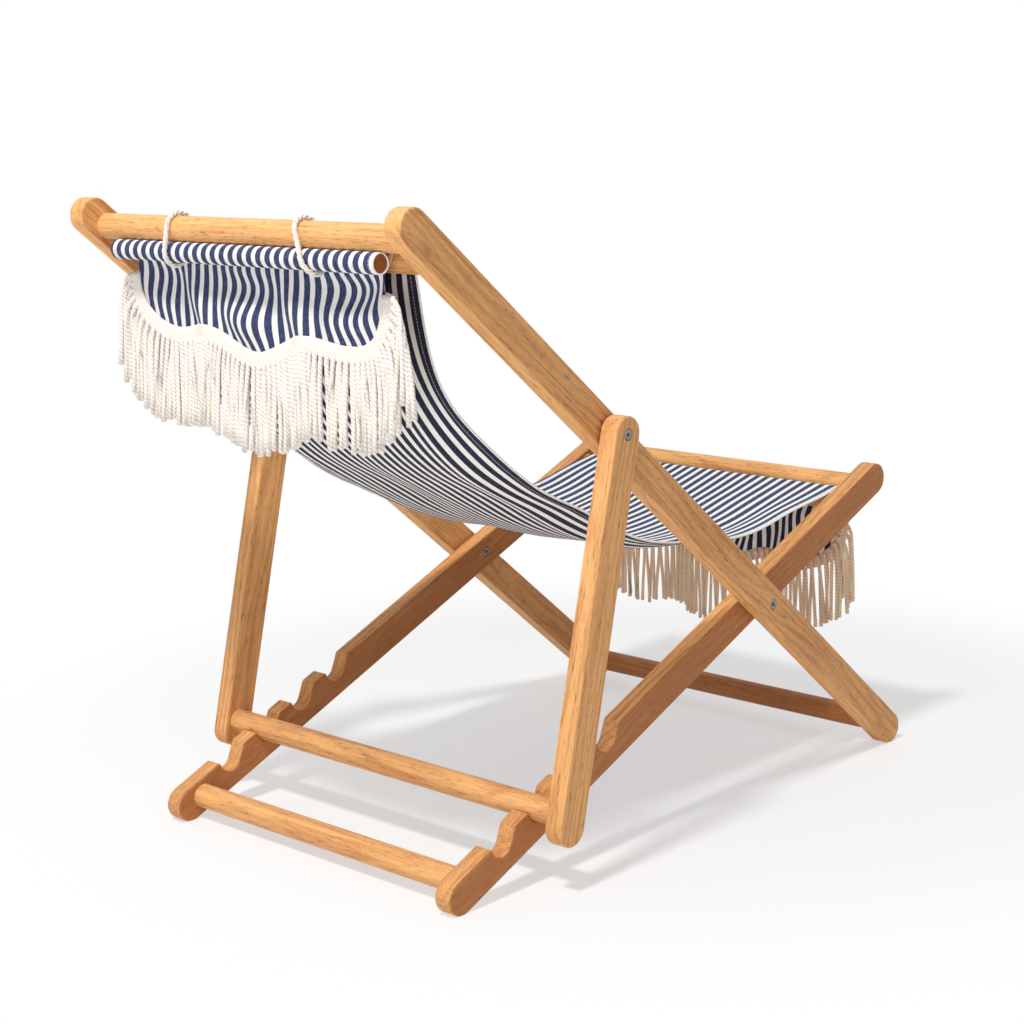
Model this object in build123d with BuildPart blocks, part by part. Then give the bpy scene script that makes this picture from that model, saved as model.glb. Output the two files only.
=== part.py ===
"""Folding sling chair: two crossed timber frames, a notched prop frame and a fringed cloth sling.

The chair faces -Y and stands on z = 0. Its origin is the middle of its footprint.
Left is the sitter's left, +X. All sizes are in millimetres and degrees.
"""

import os
from math import acos, atan2, ceil, cos, degrees, hypot, pi, radians, sin, sqrt, tan

from build123d import *

os.makedirs("parts", exist_ok=True)

# Timber sections
rail_width = 42.0
rail_thickness = 24.0
rail_arris = 2.5
bar_diameter = 30.0
rod_diameter = 30.0
tenon_diameter = 20.0
tenon_length = 16.0
tenon_end_gap = 0.5
fit_clearance = 0.05
foot_flat = 1.0

# Widths across the chair
seat_inside = 444.0
pivot_gap = 3.0

# Rail lengths between the centres of their round ends, and pivots along them
back_length = 1170.0
back_cross = 369.5
seat_length = 894.0
seat_cross = 592.0
strut_length = 445.5
strut_pivot_drop = 386.0
rod_inset = 13.0
bar_inset = 20.0
slot_spacing = 37.0

# Notches for the prop rod, counted from the rear foot
notch_first = 76.0
notch_pitch = 66.5
notch_count = 4
rest_notch = 1
notch_clearance = 0.3
notch_front_slope = 45.0
tooth_round = 4.0
tooth_round_share = 0.8
edge_tolerance = 0.01

# Pivot hardware
pivot_barrel_diameter = 9.0
pivot_head_diameter = 14.0
pivot_head_thickness = 3.0
pivot_head_sink = 0.5
pivot_head_edge = 0.8
pivot_shank_diameter = 6.0
pivot_shank_length = 26.0
pivot_barrel_setback = 2.0
pivot_socket_flats = 4.0
pivot_socket_depth = 1.8
washer_diameter = 24.0
running_gap = 0.3

# Cloth, dowels and cords
soft_gap = 0.3
cloth_thickness = 1.2
sling_width = 430.0
sling_dowel_diameter = 20.0
sling_dowel_overhang = 1.0
roll_lean = 21.5
web_offset = 7.5
seat_corner_behind = 109.0
seat_corner_rise = 52.0
back_corner_ahead = 42.0
back_corner_drop = 174.5
sling_seat_radius = 600.0
sling_back_radius = 275.0
seat_bend_share = 0.57
back_bend_share = 0.38
rope_diameter = 5.0
rope_left_x = 121.0
rope_right_x = -97.0
buttonhole_play = 1.0

# Valance and fringe, drops measured down from the seam
valance_inset = 12.0
valance_seam_offset = 8.0
valance_fold_count = 10
valance_fold_top = 1.0
valance_fold_bottom = 8.0
hem_middle_drop = 109.0
hem_crest_drop = 84.0
hem_crest_x = 83.0
hem_side_drop = 75.0
hem_side_x = 177.0
hem_corner_drop = 32.0
hem_side_turn = 0.6
hem_side_reach = 0.4
tape_height = 18.0
tape_thickness = 2.4
tape_overlap = 2.5
tape_reach = 25.0
tape_shoulder_drop = 16.0
strand_diameter = 5.4
strand_pitch = 6.5
back_strand_length = 97.0
front_strand_length = 86.0
strand_root = 4.0
strand_sides = 6

# Widths worked out from the inside of the seat frame and from the sling
seat_inner_x = seat_inside / 2
seat_outer_x = seat_inner_x + rail_thickness
back_inner_x = seat_outer_x + pivot_gap
back_outer_x = back_inner_x + rail_thickness
strut_inner_x = back_outer_x + pivot_gap
strut_outer_x = strut_inner_x + rail_thickness
valance_width = sling_width - 2 * valance_inset

# Stance: the rod in its notch fixes the angle between the frames, and the level feet fix the slopes
rail_half = rail_width / 2
bar_radius = bar_diameter / 2
notch_radius = rod_diameter / 2 + notch_clearance
pivot_to_strut = back_length - back_cross - strut_pivot_drop
strut_to_rod = strut_length - rod_inset
pivot_to_notch = seat_cross - notch_first - rest_notch * notch_pitch
pivot_to_rod = hypot(pivot_to_notch, notch_radius)
prop_cosine = (pivot_to_strut**2 + pivot_to_rod**2 - strut_to_rod**2) / (2 * pivot_to_strut * pivot_to_rod)
frame_angle = acos(prop_cosine) + atan2(notch_radius, pivot_to_notch)
seat_slope = atan2(back_cross * sin(frame_angle), seat_cross + back_cross * cos(frame_angle))
back_slope = frame_angle - seat_slope

# Side view points (y, z)
foot_height = rail_half - foot_flat
back_run = Vector(cos(back_slope), sin(back_slope))
seat_run = Vector(-cos(seat_slope), sin(seat_slope))
front_foot = Vector(-back_length / 2 * cos(back_slope), foot_height)
back_top = front_foot + back_run * back_length
cross_pivot = front_foot + back_run * back_cross
rear_foot = cross_pivot - seat_run * seat_cross
seat_front = rear_foot + seat_run * seat_length
strut_pivot = back_top - back_run * strut_pivot_drop
seat_upwards = Vector(sin(seat_slope), cos(seat_slope))
rest_rod = cross_pivot - seat_run * pivot_to_notch + seat_upwards * notch_radius
strut_run = (rest_rod - strut_pivot).normalized()
strut_end = strut_pivot + strut_run * strut_length

# The rest of the bars, all on their rails' centre lines
top_bar_at = back_top - back_run * bar_inset
top_slot_at = top_bar_at - back_run * slot_spacing
foot_bar_at = front_foot + back_run * bar_inset
front_bar_at = seat_front - seat_run * bar_inset
front_slot_at = front_bar_at - seat_run * slot_spacing
rear_bar_at = rear_foot + seat_run * bar_inset

# Cloth rolls hung under the end bars
sleeve_bore = sling_dowel_diameter / 2 + soft_gap
sleeve_radius = sleeve_bore + cloth_thickness
wrap_radius = bar_radius + soft_gap + cloth_thickness / 2
roll_hang = bar_radius + soft_gap + sleeve_radius
roll_sideways = roll_hang * sin(radians(roll_lean))
roll_down = roll_hang * cos(radians(roll_lean))
top_roll_at = top_bar_at + Vector(roll_sideways, -roll_down)
front_roll_at = front_bar_at + Vector(-roll_sideways, -roll_down)

SIDES = (("left", 1), ("right", -1))


def turned(vector, angle):
    """The side-view vector turned by an angle in radians, positive from +Y towards +Z."""
    return Vector(
        vector.X * cos(angle) - vector.Y * sin(angle),
        vector.X * sin(angle) + vector.Y * cos(angle),
    )


def flat(vector):
    """A side-view vector as a plain pair, which lines read in their own plane."""
    return vector.X, vector.Y


def save(builder, name):
    """Label a finished piece and write its file."""
    builder.part.label = name
    export_step(builder.part, f"parts/{name}.step")


def low_face(inner, outer, side):
    """The lower x of a rail that spans inner to outer on one side of the chair."""
    return inner if side > 0 else -outer


def rail_blank(first, second):
    """A stadium between two side-view points, drawn in the current sketch."""
    middle = (first + second) / 2
    run = second - first
    with Locations((middle.X, middle.Y)):
        SlotCenterToCenter(run.length, rail_width, rotation=degrees(atan2(run.Y, run.X)))


def round_arrises(builder):
    """Soften all edges of a rail's two broad faces."""
    fillet(builder.faces().filter_by(Axis.X).edges(), radius=rail_arris)


def cut_round(at, radius, start_x, depth):
    """Cut a round hole along X from start_x, as deep as depth, which is signed."""
    with BuildSketch(Plane.YZ.offset(start_x)) as hole:
        with Locations((at.X, at.Y)):
            Circle(radius)
    extrude(hole.sketch, amount=depth, mode=Mode.SUBTRACT)


def cut_sockets(inner_x, side, places):
    """Blind sockets in a rail's inner face for the tenons of its bars."""
    for place in places:
        cut_round(place, tenon_diameter / 2 + fit_clearance, side * inner_x, side * tenon_length)


def cut_pivot(inner_x, at, side, head_outside):
    """A pivot bore through a rail, with the recess for its head on the outer or the inner face."""
    cut_round(at, pivot_barrel_diameter / 2 + fit_clearance, side * inner_x, side * rail_thickness)
    recess = pivot_head_thickness + pivot_head_sink
    head_radius = pivot_head_diameter / 2 + running_gap
    if head_outside:
        cut_round(at, head_radius, side * (inner_x + rail_thickness), -side * recess)
    else:
        cut_round(at, head_radius, side * inner_x, side * (recess + running_gap))


# Back frame rails
for side_name, side in SIDES:
    with BuildPart() as back_rail:
        with BuildSketch(Plane.YZ.offset(low_face(back_inner_x, back_outer_x, side))):
            rail_blank(front_foot, back_top)
        extrude(amount=rail_thickness)
        round_arrises(back_rail)
        cut_sockets(back_inner_x, side, (top_bar_at, top_slot_at, foot_bar_at))
        cut_pivot(back_inner_x, cross_pivot, side, head_outside=True)
        cut_pivot(back_inner_x, strut_pivot, side, head_outside=False)
        split(bisect_by=Plane.XY, keep=Keep.TOP)
    save(back_rail, f"back_rail_{side_name}")

# Seat frame rails, with a row of notches for the prop rod in their top edges
notch_slope = radians(notch_front_slope)
tangent_drop = notch_radius * (1 - cos(notch_slope))
tangent_ahead = notch_radius * sin(notch_slope)
notch_mouth = tangent_ahead + (rail_half - tangent_drop) / sin(notch_slope) * cos(notch_slope)
corner_round = min(tooth_round, tooth_round_share * (rail_half - notch_radius))
edge_low = rail_half - edge_tolerance
edge_high = rail_half + edge_tolerance
for side_name, side in SIDES:
    rail_plane = Plane(
        origin=(low_face(seat_inner_x, seat_outer_x, side), rear_foot.X, rear_foot.Y),
        x_dir=(0, -seat_run.X, -seat_run.Y),
        z_dir=(1, 0, 0),
    )
    with BuildPart() as seat_rail:
        with BuildSketch(rail_plane) as rail_side:
            with Locations((-seat_length / 2, 0)):
                SlotCenterToCenter(seat_length, rail_width)
            for index in range(notch_count):
                bed = -notch_first - index * notch_pitch
                with BuildLine():
                    rear_wall = Line((bed + notch_radius, rail_half), (bed + notch_radius, notch_radius))
                    round_end = (bed - tangent_ahead, tangent_drop)
                    rod_bed = ThreePointArc(rear_wall @ 1, (bed, 0), round_end)
                    front_wall = Line(rod_bed @ 1, (bed - notch_mouth, rail_half))
                    Line(front_wall @ 1, rear_wall @ 0)
                make_face(mode=Mode.SUBTRACT)
            top_edge = rail_side.vertices().filter_by_position(Axis.Y, edge_low, edge_high)
            fillet(top_edge.sort_by(Axis.X)[1:-1], radius=corner_round)
        extrude(amount=rail_thickness)
        round_arrises(seat_rail)
        cut_sockets(seat_inner_x, side, (front_bar_at, front_slot_at, rear_bar_at))
        cut_pivot(seat_inner_x, cross_pivot, side, head_outside=False)
        split(bisect_by=Plane.XY, keep=Keep.TOP)
    save(seat_rail, f"seat_rail_{side_name}")

# Prop frame struts
for side_name, side in SIDES:
    with BuildPart() as strut:
        with BuildSketch(Plane.YZ.offset(low_face(strut_inner_x, strut_outer_x, side))):
            rail_blank(strut_pivot, strut_end)
        extrude(amount=rail_thickness)
        round_arrises(strut)
        cut_sockets(strut_inner_x, side, (rest_rod,))
        cut_pivot(strut_inner_x, strut_pivot, side, head_outside=True)
    save(strut, f"strut_{side_name}")

# Round bars, shouldered between their rails and tenoned into them
BARS = (
    ("top_bar", top_bar_at, bar_diameter, back_inner_x),
    ("top_slot_bar", top_slot_at, bar_diameter, back_inner_x),
    ("foot_bar", foot_bar_at, bar_diameter, back_inner_x),
    ("front_bar", front_bar_at, bar_diameter, seat_inner_x),
    ("front_slot_bar", front_slot_at, bar_diameter, seat_inner_x),
    ("rear_bar", rear_bar_at, bar_diameter, seat_inner_x),
    ("prop_rod", rest_rod, rod_diameter, strut_inner_x),
)
for bar_name, place, diameter, shoulder_x in BARS:
    with BuildPart() as bar:
        with BuildSketch(Plane.YZ):
            with Locations((place.X, place.Y)):
                Circle(diameter / 2)
        extrude(amount=shoulder_x, both=True)
        with BuildSketch(Plane.YZ):
            with Locations((place.X, place.Y)):
                Circle(tenon_diameter / 2)
        extrude(amount=shoulder_x + tenon_length - tenon_end_gap, both=True)
    save(bar, bar_name)

# Pivot hardware: a socket-head bolt screwed into a flanged sleeve nut, and a spacing washer
PIVOTS = (
    ("cross", cross_pivot, seat_inner_x, back_inner_x),
    ("strut", strut_pivot, back_inner_x, strut_inner_x),
)


def pivot_disc(at, radius, start_x, end_x, mode=Mode.ADD):
    """A disc or a round hole on a pivot's axis between two x places."""
    with BuildSketch(Plane.YZ.offset(start_x)) as disc:
        with Locations((at.X, at.Y)):
            Circle(radius)
    extrude(disc.sketch, amount=end_x - start_x, mode=mode)


def key_socket(at, face_x, inwards):
    """The hexagonal key socket in a pivot's head."""
    with BuildSketch(Plane.YZ.offset(face_x)) as socket:
        with Locations((at.X, at.Y)):
            RegularPolygon(pivot_socket_flats / 2, 6, major_radius=False)
    extrude(socket.sketch, amount=inwards * pivot_socket_depth, mode=Mode.SUBTRACT)


for pivot_name, place, inner_x, outer_x in PIVOTS:
    nut_face = inner_x + pivot_head_sink
    nut_shoulder = nut_face + pivot_head_thickness
    bolt_face = outer_x + rail_thickness - pivot_head_sink
    bolt_shoulder = bolt_face - pivot_head_thickness
    barrel_end = bolt_shoulder - pivot_barrel_setback
    shank_end = bolt_shoulder - pivot_shank_length
    head_radius = pivot_head_diameter / 2
    for side_name, side in SIDES:
        with BuildPart() as bolt:
            pivot_disc(place, head_radius, side * bolt_shoulder, side * bolt_face)
            chamfer(bolt.faces().sort_by(Axis.X)[-1 if side > 0 else 0].edges(), length=pivot_head_edge)
            pivot_disc(place, pivot_shank_diameter / 2, side * shank_end, side * bolt_shoulder)
            key_socket(place, side * bolt_face, -side)
        save(bolt, f"{pivot_name}_bolt_{side_name}")

        with BuildPart() as sleeve_nut:
            pivot_disc(place, head_radius, side * nut_face, side * nut_shoulder)
            chamfer(sleeve_nut.faces().sort_by(Axis.X)[0 if side > 0 else -1].edges(), length=pivot_head_edge)
            pivot_disc(place, pivot_barrel_diameter / 2, side * nut_shoulder, side * barrel_end)
            bore = pivot_shank_diameter / 2 + fit_clearance
            pivot_disc(place, bore, side * (shank_end - tenon_end_gap), side * barrel_end, mode=Mode.SUBTRACT)
            key_socket(place, side * nut_face, side)
        save(sleeve_nut, f"{pivot_name}_sleeve_nut_{side_name}")

        with BuildPart() as washer:
            washer_face = outer_x - pivot_gap + running_gap
            pivot_disc(place, washer_diameter / 2, side * washer_face, side * outer_x)
            hole = pivot_barrel_diameter / 2 + running_gap
            pivot_disc(place, hole, side * washer_face, side * outer_x, mode=Mode.SUBTRACT)
        save(washer, f"{pivot_name}_washer_{side_name}")

# Dowels inside the sling's two sleeves
DOWELS = (("top_sling_dowel", top_roll_at), ("front_sling_dowel", front_roll_at))
for dowel_name, place in DOWELS:
    with BuildPart() as dowel:
        with BuildSketch(Plane.YZ):
            with Locations((place.X, place.Y)):
                Circle(sling_dowel_diameter / 2)
        extrude(amount=sling_width / 2 + sling_dowel_overhang, both=True)
    save(dowel, dowel_name)

# Rope loops that tie the top roll to its bar
rope_bar_radius = bar_radius + soft_gap + rope_diameter / 2
rope_roll_radius = sleeve_radius + soft_gap + rope_diameter / 2


def rope_belt():
    """A belt line round the top bar and the roll under it, in four arcs and two straight runs."""
    run = (top_roll_at - top_bar_at).normalized()
    spread = acos((rope_bar_radius - rope_roll_radius) / roll_hang)
    bar_near = top_bar_at + turned(run, spread) * rope_bar_radius
    bar_far = top_bar_at + turned(run, -spread) * rope_bar_radius
    roll_near = top_roll_at + turned(run, spread) * rope_roll_radius
    roll_far = top_roll_at + turned(run, -spread) * rope_roll_radius
    bar_back = top_bar_at - run * rope_bar_radius
    roll_tip = top_roll_at + run * rope_roll_radius
    half_bar = (pi - spread) / 2
    half_roll = spread / 2
    roll_arc_near = top_roll_at + turned(run, half_roll) * rope_roll_radius
    roll_arc_far = top_roll_at + turned(run, -half_roll) * rope_roll_radius
    bar_arc_far = top_bar_at + turned(-run, half_bar) * rope_bar_radius
    bar_arc_near = top_bar_at + turned(-run, -half_bar) * rope_bar_radius
    Line(flat(bar_near), flat(roll_near))
    ThreePointArc(flat(roll_near), flat(roll_arc_near), flat(roll_tip))
    ThreePointArc(flat(roll_tip), flat(roll_arc_far), flat(roll_far))
    Line(flat(roll_far), flat(bar_far))
    ThreePointArc(flat(bar_far), flat(bar_arc_far), flat(bar_back))
    ThreePointArc(flat(bar_back), flat(bar_arc_near), flat(bar_near))


ROPE_PLACES = (("left", rope_left_x), ("right", rope_right_x))
for side_name, rope_x in ROPE_PLACES:
    with BuildPart() as rope:
        with BuildLine(Plane.YZ.offset(rope_x)) as belt:
            rope_belt()
        with BuildSketch(Plane(belt.line @ 0, z_dir=belt.line % 0)):
            Circle(rope_diameter / 2)
        sweep(path=belt.line)
    save(rope, f"top_rope_{side_name}")


def web_tangent(slot_at, roll_at, outwards):
    """Where the cloth leaves a slot bar for its roll, and where it meets the roll's inside."""
    across = roll_at - slot_at
    bearing = atan2(across.Y, across.X)
    lean = acos((wrap_radius + web_offset) / across.length)
    normal = turned(Vector(1, 0), bearing + outwards * lean)
    return slot_at + normal * wrap_radius, roll_at - normal * web_offset


def bar_touch(slot_at, corner, turn):
    """Where a straight run of cloth from a corner point touches the wrap round a slot bar."""
    away = corner - slot_at
    return slot_at + turned(away.normalized(), turn * acos(wrap_radius / away.length)) * wrap_radius


def bend_arc(bar_end, corner, middle_end, radius, share):
    """Start, middle and end of the arc that rounds a corner, within its share of the middle run."""
    to_bar = (bar_end - corner).normalized()
    to_middle = (middle_end - corner).normalized()
    half = acos(to_bar.X * to_middle.X + to_bar.Y * to_middle.Y) / 2
    room = min((bar_end - corner).length, share * (middle_end - corner).length)
    bend = min(radius, room * tan(half))
    setback = bend / tan(half)
    inwards = (to_bar + to_middle).normalized()
    middle = corner + inwards * (bend / sin(half) - bend)
    return corner + to_bar * setback, middle, corner + to_middle * setback


# Sling: cloth over both slot bars, hanging in two bends, sewn into a sleeve round each dowel
seat_corner = cross_pivot + Vector(seat_corner_behind, seat_corner_rise)
back_corner = top_slot_at - Vector(back_corner_ahead, back_corner_drop)
top_leave, top_web_end = web_tangent(top_slot_at, top_roll_at, 1)
top_touch = bar_touch(top_slot_at, back_corner, -1)
front_touch = bar_touch(front_slot_at, seat_corner, 1)
front_leave, front_web_end = web_tangent(front_slot_at, front_roll_at, -1)
back_bend = bend_arc(top_touch, back_corner, seat_corner, sling_back_radius, back_bend_share)
seat_bend = bend_arc(front_touch, seat_corner, back_corner, sling_seat_radius, seat_bend_share)
top_wrap = (top_leave - top_slot_at).normalized() + (top_touch - top_slot_at).normalized()
front_wrap = (front_touch - front_slot_at).normalized() + (front_leave - front_slot_at).normalized()

with BuildPart() as sling:
    with BuildSketch(Plane.YZ):
        with BuildLine() as cloth_run:
            Line(top_web_end, top_leave)
            ThreePointArc(top_leave, top_slot_at + top_wrap.normalized() * wrap_radius, top_touch)
            Line(top_touch, back_bend[0])
            ThreePointArc(*back_bend)
            Line(back_bend[2], seat_bend[2])
            ThreePointArc(*reversed(seat_bend))
            Line(seat_bend[0], front_touch)
            ThreePointArc(front_touch, front_slot_at + front_wrap.normalized() * wrap_radius, front_leave)
            Line(front_leave, front_web_end)
        trace(cloth_run.line, line_width=cloth_thickness)
        for _, place in DOWELS:
            with Locations((place.X, place.Y)):
                Circle(sleeve_radius)
        for _, place in DOWELS:
            with Locations((place.X, place.Y)):
                Circle(sleeve_bore, mode=Mode.SUBTRACT)
    extrude(amount=sling_width / 2, both=True)
    for _, rope_x in ROPE_PLACES:
        with BuildSketch(Plane.YZ.offset(rope_x)):
            with BuildLine() as slit:
                rope_belt()
            trace(slit.line, line_width=rope_diameter + soft_gap)
        extrude(amount=rope_diameter / 2 + buttonhole_play, both=True, mode=Mode.SUBTRACT)
save(sling, "sling")


def wave_line(depth, shift, left, right, seam, outwards):
    """One face of the hanging folds in plan at a depth below the seam, as a row of arcs."""
    fold_width = valance_width / valance_fold_count
    share = depth / hem_middle_drop
    swell = valance_fold_top + (valance_fold_bottom - valance_fold_top) * share
    base = seam.X + outwards * shift
    start = -valance_width / 2
    if left < start:
        Line((left, base), (start, base))
    for fold in range(valance_fold_count):
        first = start + fold * fold_width
        bulge = swell if fold % 2 else -swell
        ThreePointArc((first, base), (first + fold_width / 2, base + bulge), (first + fold_width, base))
    if right > -start:
        Line((-start, base), (right, base))


def hung_folds(seam, outwards, near, far, reach, lowest):
    """A hanging sheet with folds that deepen downwards, between two offsets from the seam."""
    half = valance_width / 2 + reach
    sections = []
    for depth in (0.0, lowest):
        with BuildSketch(Plane.XY.offset(seam.Y - depth)) as level:
            with BuildLine():
                wave_line(depth, near, -half, half, seam, outwards)
                wave_line(depth, far, -half, half, seam, outwards)
                for end in (-half, half):
                    Line((end, seam.X + outwards * near), (end, seam.X + outwards * far))
            make_face()
        sections.append(level.sketch)
    loft(sections, ruled=True)


# The hem swings down in the middle, up to two crests, down again and up to the corners
hem_turn_drop = (hem_middle_drop + hem_crest_drop) / 2
hem_turn_x = hem_crest_x / 2
hem_side_turn_x = hem_crest_x + hem_turn_x * hem_side_turn
hem_side_turn_drop = hem_crest_drop + (hem_turn_drop - hem_crest_drop) * hem_side_turn**2


def hem_arcs(seam, lower, reach):
    """The right half of the hem, moved down by lower and out by reach, as three-point arcs."""
    corner = valance_width / 2 + reach
    level = seam.Y - lower

    def at(x, drop):
        return Vector(x, level - drop)

    return (
        (at(-hem_turn_x, hem_turn_drop), at(0, hem_middle_drop), at(hem_turn_x, hem_turn_drop)),
        (
            at(hem_turn_x, hem_turn_drop),
            at(hem_crest_x, hem_crest_drop),
            at(hem_side_turn_x, hem_side_turn_drop),
        ),
        (
            at(hem_side_turn_x, hem_side_turn_drop),
            at(hem_side_x + reach * hem_side_reach, hem_side_drop),
            at(corner, hem_corner_drop - lower + reach * tape_shoulder_drop / tape_reach),
        ),
    )


def hem_line(arcs):
    """Draw the whole hem from its right half."""
    ThreePointArc(*arcs[0])
    for arc in arcs[1:]:
        ThreePointArc(*arc)
        ThreePointArc(*[Vector(-point.X, point.Y) for point in arc])


def arc_height(arc, x):
    """The height at x on a three-point arc that is a single line of heights."""
    (x1, z1), (x2, z2), (x3, z3) = [(point.X, point.Y) for point in arc]
    twice = 2 * (x1 * (z2 - z3) + x2 * (z3 - z1) + x3 * (z1 - z2))
    squares = [x1**2 + z1**2, x2**2 + z2**2, x3**2 + z3**2]
    centre_x = (squares[0] * (z2 - z3) + squares[1] * (z3 - z1) + squares[2] * (z1 - z2)) / twice
    centre_z = (squares[0] * (x3 - x2) + squares[1] * (x1 - x3) + squares[2] * (x2 - x1)) / twice
    radius = hypot(x1 - centre_x, z1 - centre_z)
    side = 1 if z2 > centre_z else -1
    return centre_z + side * sqrt(max(radius**2 - (x - centre_x) ** 2, 0))


def fold_swing(x, depth):
    """How far the folds swing from the seam's plane at x and a depth below the seam."""
    fold_width = valance_width / valance_fold_count
    place = (x + valance_width / 2) / fold_width
    if not 0 < place < valance_fold_count:
        return 0.0
    share = depth / hem_middle_drop
    swell = valance_fold_top + (valance_fold_bottom - valance_fold_top) * share
    radius = (fold_width**2 / 4 + swell**2) / (2 * swell)
    along = (place - int(place) - 0.5) * fold_width
    swing = sqrt(radius**2 - along**2) - radius + swell
    return swing if int(place) % 2 else -swing


# Valances with their scalloped hems, and the fringes of twisted cords sewn along them
VALANCES = (
    ("back", top_slot_at, top_roll_at, 1, ROPE_PLACES, back_strand_length),
    ("front", front_slot_at, front_roll_at, -1, (), front_strand_length),
)
for valance_name, slot_at, roll_at, outwards, ropes, strand_length in VALANCES:
    leave, web_end = web_tangent(slot_at, roll_at, outwards)
    web_run = (web_end - leave).normalized()
    sewn = web_end - web_run * (sqrt(sleeve_radius**2 - web_offset**2) + valance_seam_offset)
    clear = (cloth_thickness + soft_gap + valance_fold_top) / abs(web_run.X)
    seam = Vector(sewn.X, sewn.Y - clear - cloth_thickness)
    lowest = hem_middle_drop + tape_height + tape_overlap
    half_width = valance_width / 2

    with BuildPart() as valance:
        hung_folds(seam, outwards, 0, cloth_thickness, 0, lowest)
        with BuildSketch(Plane.XZ):
            with BuildLine():
                arcs = hem_arcs(seam, 0, 0)
                hem_line(arcs)
                for end in (-1, 1):
                    Line((end * half_width, arcs[2][2].Y), (end * half_width, seam.Y))
                Line((-half_width, seam.Y), (half_width, seam.Y))
            make_face()
        extrude(amount=back_length, both=True, mode=Mode.INTERSECT)
        for _, rope_x in ropes:
            with BuildSketch(Plane.YZ.offset(rope_x)):
                with BuildLine() as slit:
                    rope_belt()
                trace(slit.line, line_width=rope_diameter + soft_gap)
            extrude(amount=rope_diameter / 2 + buttonhole_play, both=True, mode=Mode.SUBTRACT)
    save(valance, f"{valance_name}_valance")

    tape_near = cloth_thickness + soft_gap
    tape_middle = tape_near + tape_thickness / 2
    inner_arcs = hem_arcs(seam, -tape_overlap, 0)
    outer_arcs = hem_arcs(seam, tape_height - tape_overlap, tape_reach)
    with BuildPart() as fringe:
        hung_folds(seam, outwards, tape_near, tape_near + tape_thickness, tape_reach, lowest)
        with BuildSketch(Plane.XZ):
            with BuildLine():
                hem_line(inner_arcs)
                hem_line(outer_arcs)
                for end in (-1, 1):
                    inner_end = inner_arcs[2][2]
                    outer_end = outer_arcs[2][2]
                    Line((end * inner_end.X, inner_end.Y), (end * outer_end.X, outer_end.Y))
            make_face()
        extrude(amount=back_length, both=True, mode=Mode.INTERSECT)
        reach = half_width + tape_reach - strand_diameter / 2
        steps = ceil(reach / strand_pitch) - 1
        strands = []
        for step in range(-steps, steps + 1):
            x = step * strand_pitch
            arc = next(arc for arc in outer_arcs if abs(x) <= arc[2].X)
            top = arc_height(arc, abs(x)) + strand_root
            swing = fold_swing(x, seam.Y - top)
            with BuildSketch(Plane.XY.offset(top), mode=Mode.PRIVATE) as strand:
                with Locations((x, seam.X + outwards * tape_middle + swing)):
                    RegularPolygon(strand_diameter / 2, strand_sides)
            strands.append(extrude(strand.sketch, amount=-strand_length - strand_root, mode=Mode.PRIVATE))
        add(strands)
    save(fringe, f"{valance_name}_fringe")
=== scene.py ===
"""Dress the folding sling chair: oiled teak, steel pivots, striped canvas, tie ropes and fringes.

Lengths are metres. The chair faces -Y, +X is the sitter's left and the floor is z = 0. Places come
from the loaded frame, and the cloth is worked out from the bars and dowels that carry it.
"""

import logging
import math
import random
from bisect import bisect_left
from collections.abc import Callable, Sequence
from dataclasses import dataclass, field
from enum import Enum
from itertools import accumulate, pairwise

import bmesh
import bpy
from mathutils import Euler, Matrix, Vector


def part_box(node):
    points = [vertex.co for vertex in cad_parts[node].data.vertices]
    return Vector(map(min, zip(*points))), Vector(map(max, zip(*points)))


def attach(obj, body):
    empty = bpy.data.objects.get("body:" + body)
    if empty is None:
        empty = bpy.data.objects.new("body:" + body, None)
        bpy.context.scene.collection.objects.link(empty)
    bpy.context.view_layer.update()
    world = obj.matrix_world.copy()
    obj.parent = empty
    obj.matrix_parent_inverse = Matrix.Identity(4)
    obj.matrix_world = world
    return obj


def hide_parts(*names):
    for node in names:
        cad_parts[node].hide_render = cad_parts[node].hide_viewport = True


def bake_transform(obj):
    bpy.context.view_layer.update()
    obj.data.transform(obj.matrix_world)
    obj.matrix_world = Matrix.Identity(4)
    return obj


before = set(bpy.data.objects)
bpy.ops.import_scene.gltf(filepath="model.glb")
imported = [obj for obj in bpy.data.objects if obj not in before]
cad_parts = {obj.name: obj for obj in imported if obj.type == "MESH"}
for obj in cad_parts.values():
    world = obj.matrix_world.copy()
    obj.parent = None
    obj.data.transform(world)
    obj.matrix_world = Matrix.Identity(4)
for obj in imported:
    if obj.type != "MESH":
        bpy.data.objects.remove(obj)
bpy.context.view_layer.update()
LOG = logging.getLogger("sling_chair")

Colour = tuple[float, float, float, float]
Pair = tuple[float, float]
Triple = tuple[float, float, float]
Material = bpy.types.Material
Mesh = bmesh.types.BMesh
Piece = bpy.types.Object
Socket = bpy.types.NodeSocket
Inputs = dict[str, object] | dict[int, object]

CLOTH_UV = "cloth"
SIDES = ("left", "right")
WHITE: Colour = (1.0, 1.0, 1.0, 1.0)
ALONG_X: Triple = (0.0, 0.0, math.pi / 2)
SHARE_STEP = 0.01
WELD_GAP = 1e-6
RANGE_INPUTS = ("Value", "From Min", "From Max", "To Min", "To Max")
COTTON_SHINE = {
    "Roughness": 0.95,
    "Specular_IOR_Level": 0.15,
    "Sheen_Weight": 0.2,
    "Sheen_Roughness": 0.7,
}


def linear(part: int) -> float:
    """One channel of a display colour, 0 to 255, as a shader reads it."""
    share = part / 255
    return share / 12.92 if share <= 0.04045 else ((share + 0.055) / 1.055) ** 2.4


def srgb(red: int, green: int, blue: int) -> Colour:
    """A display colour as a shader reads it, with full alpha."""
    return linear(red), linear(green), linear(blue), 1.0


def clamp(value: float) -> float:
    """A number held between 0 and 1."""
    return min(max(value, 0.0), 1.0)


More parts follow.
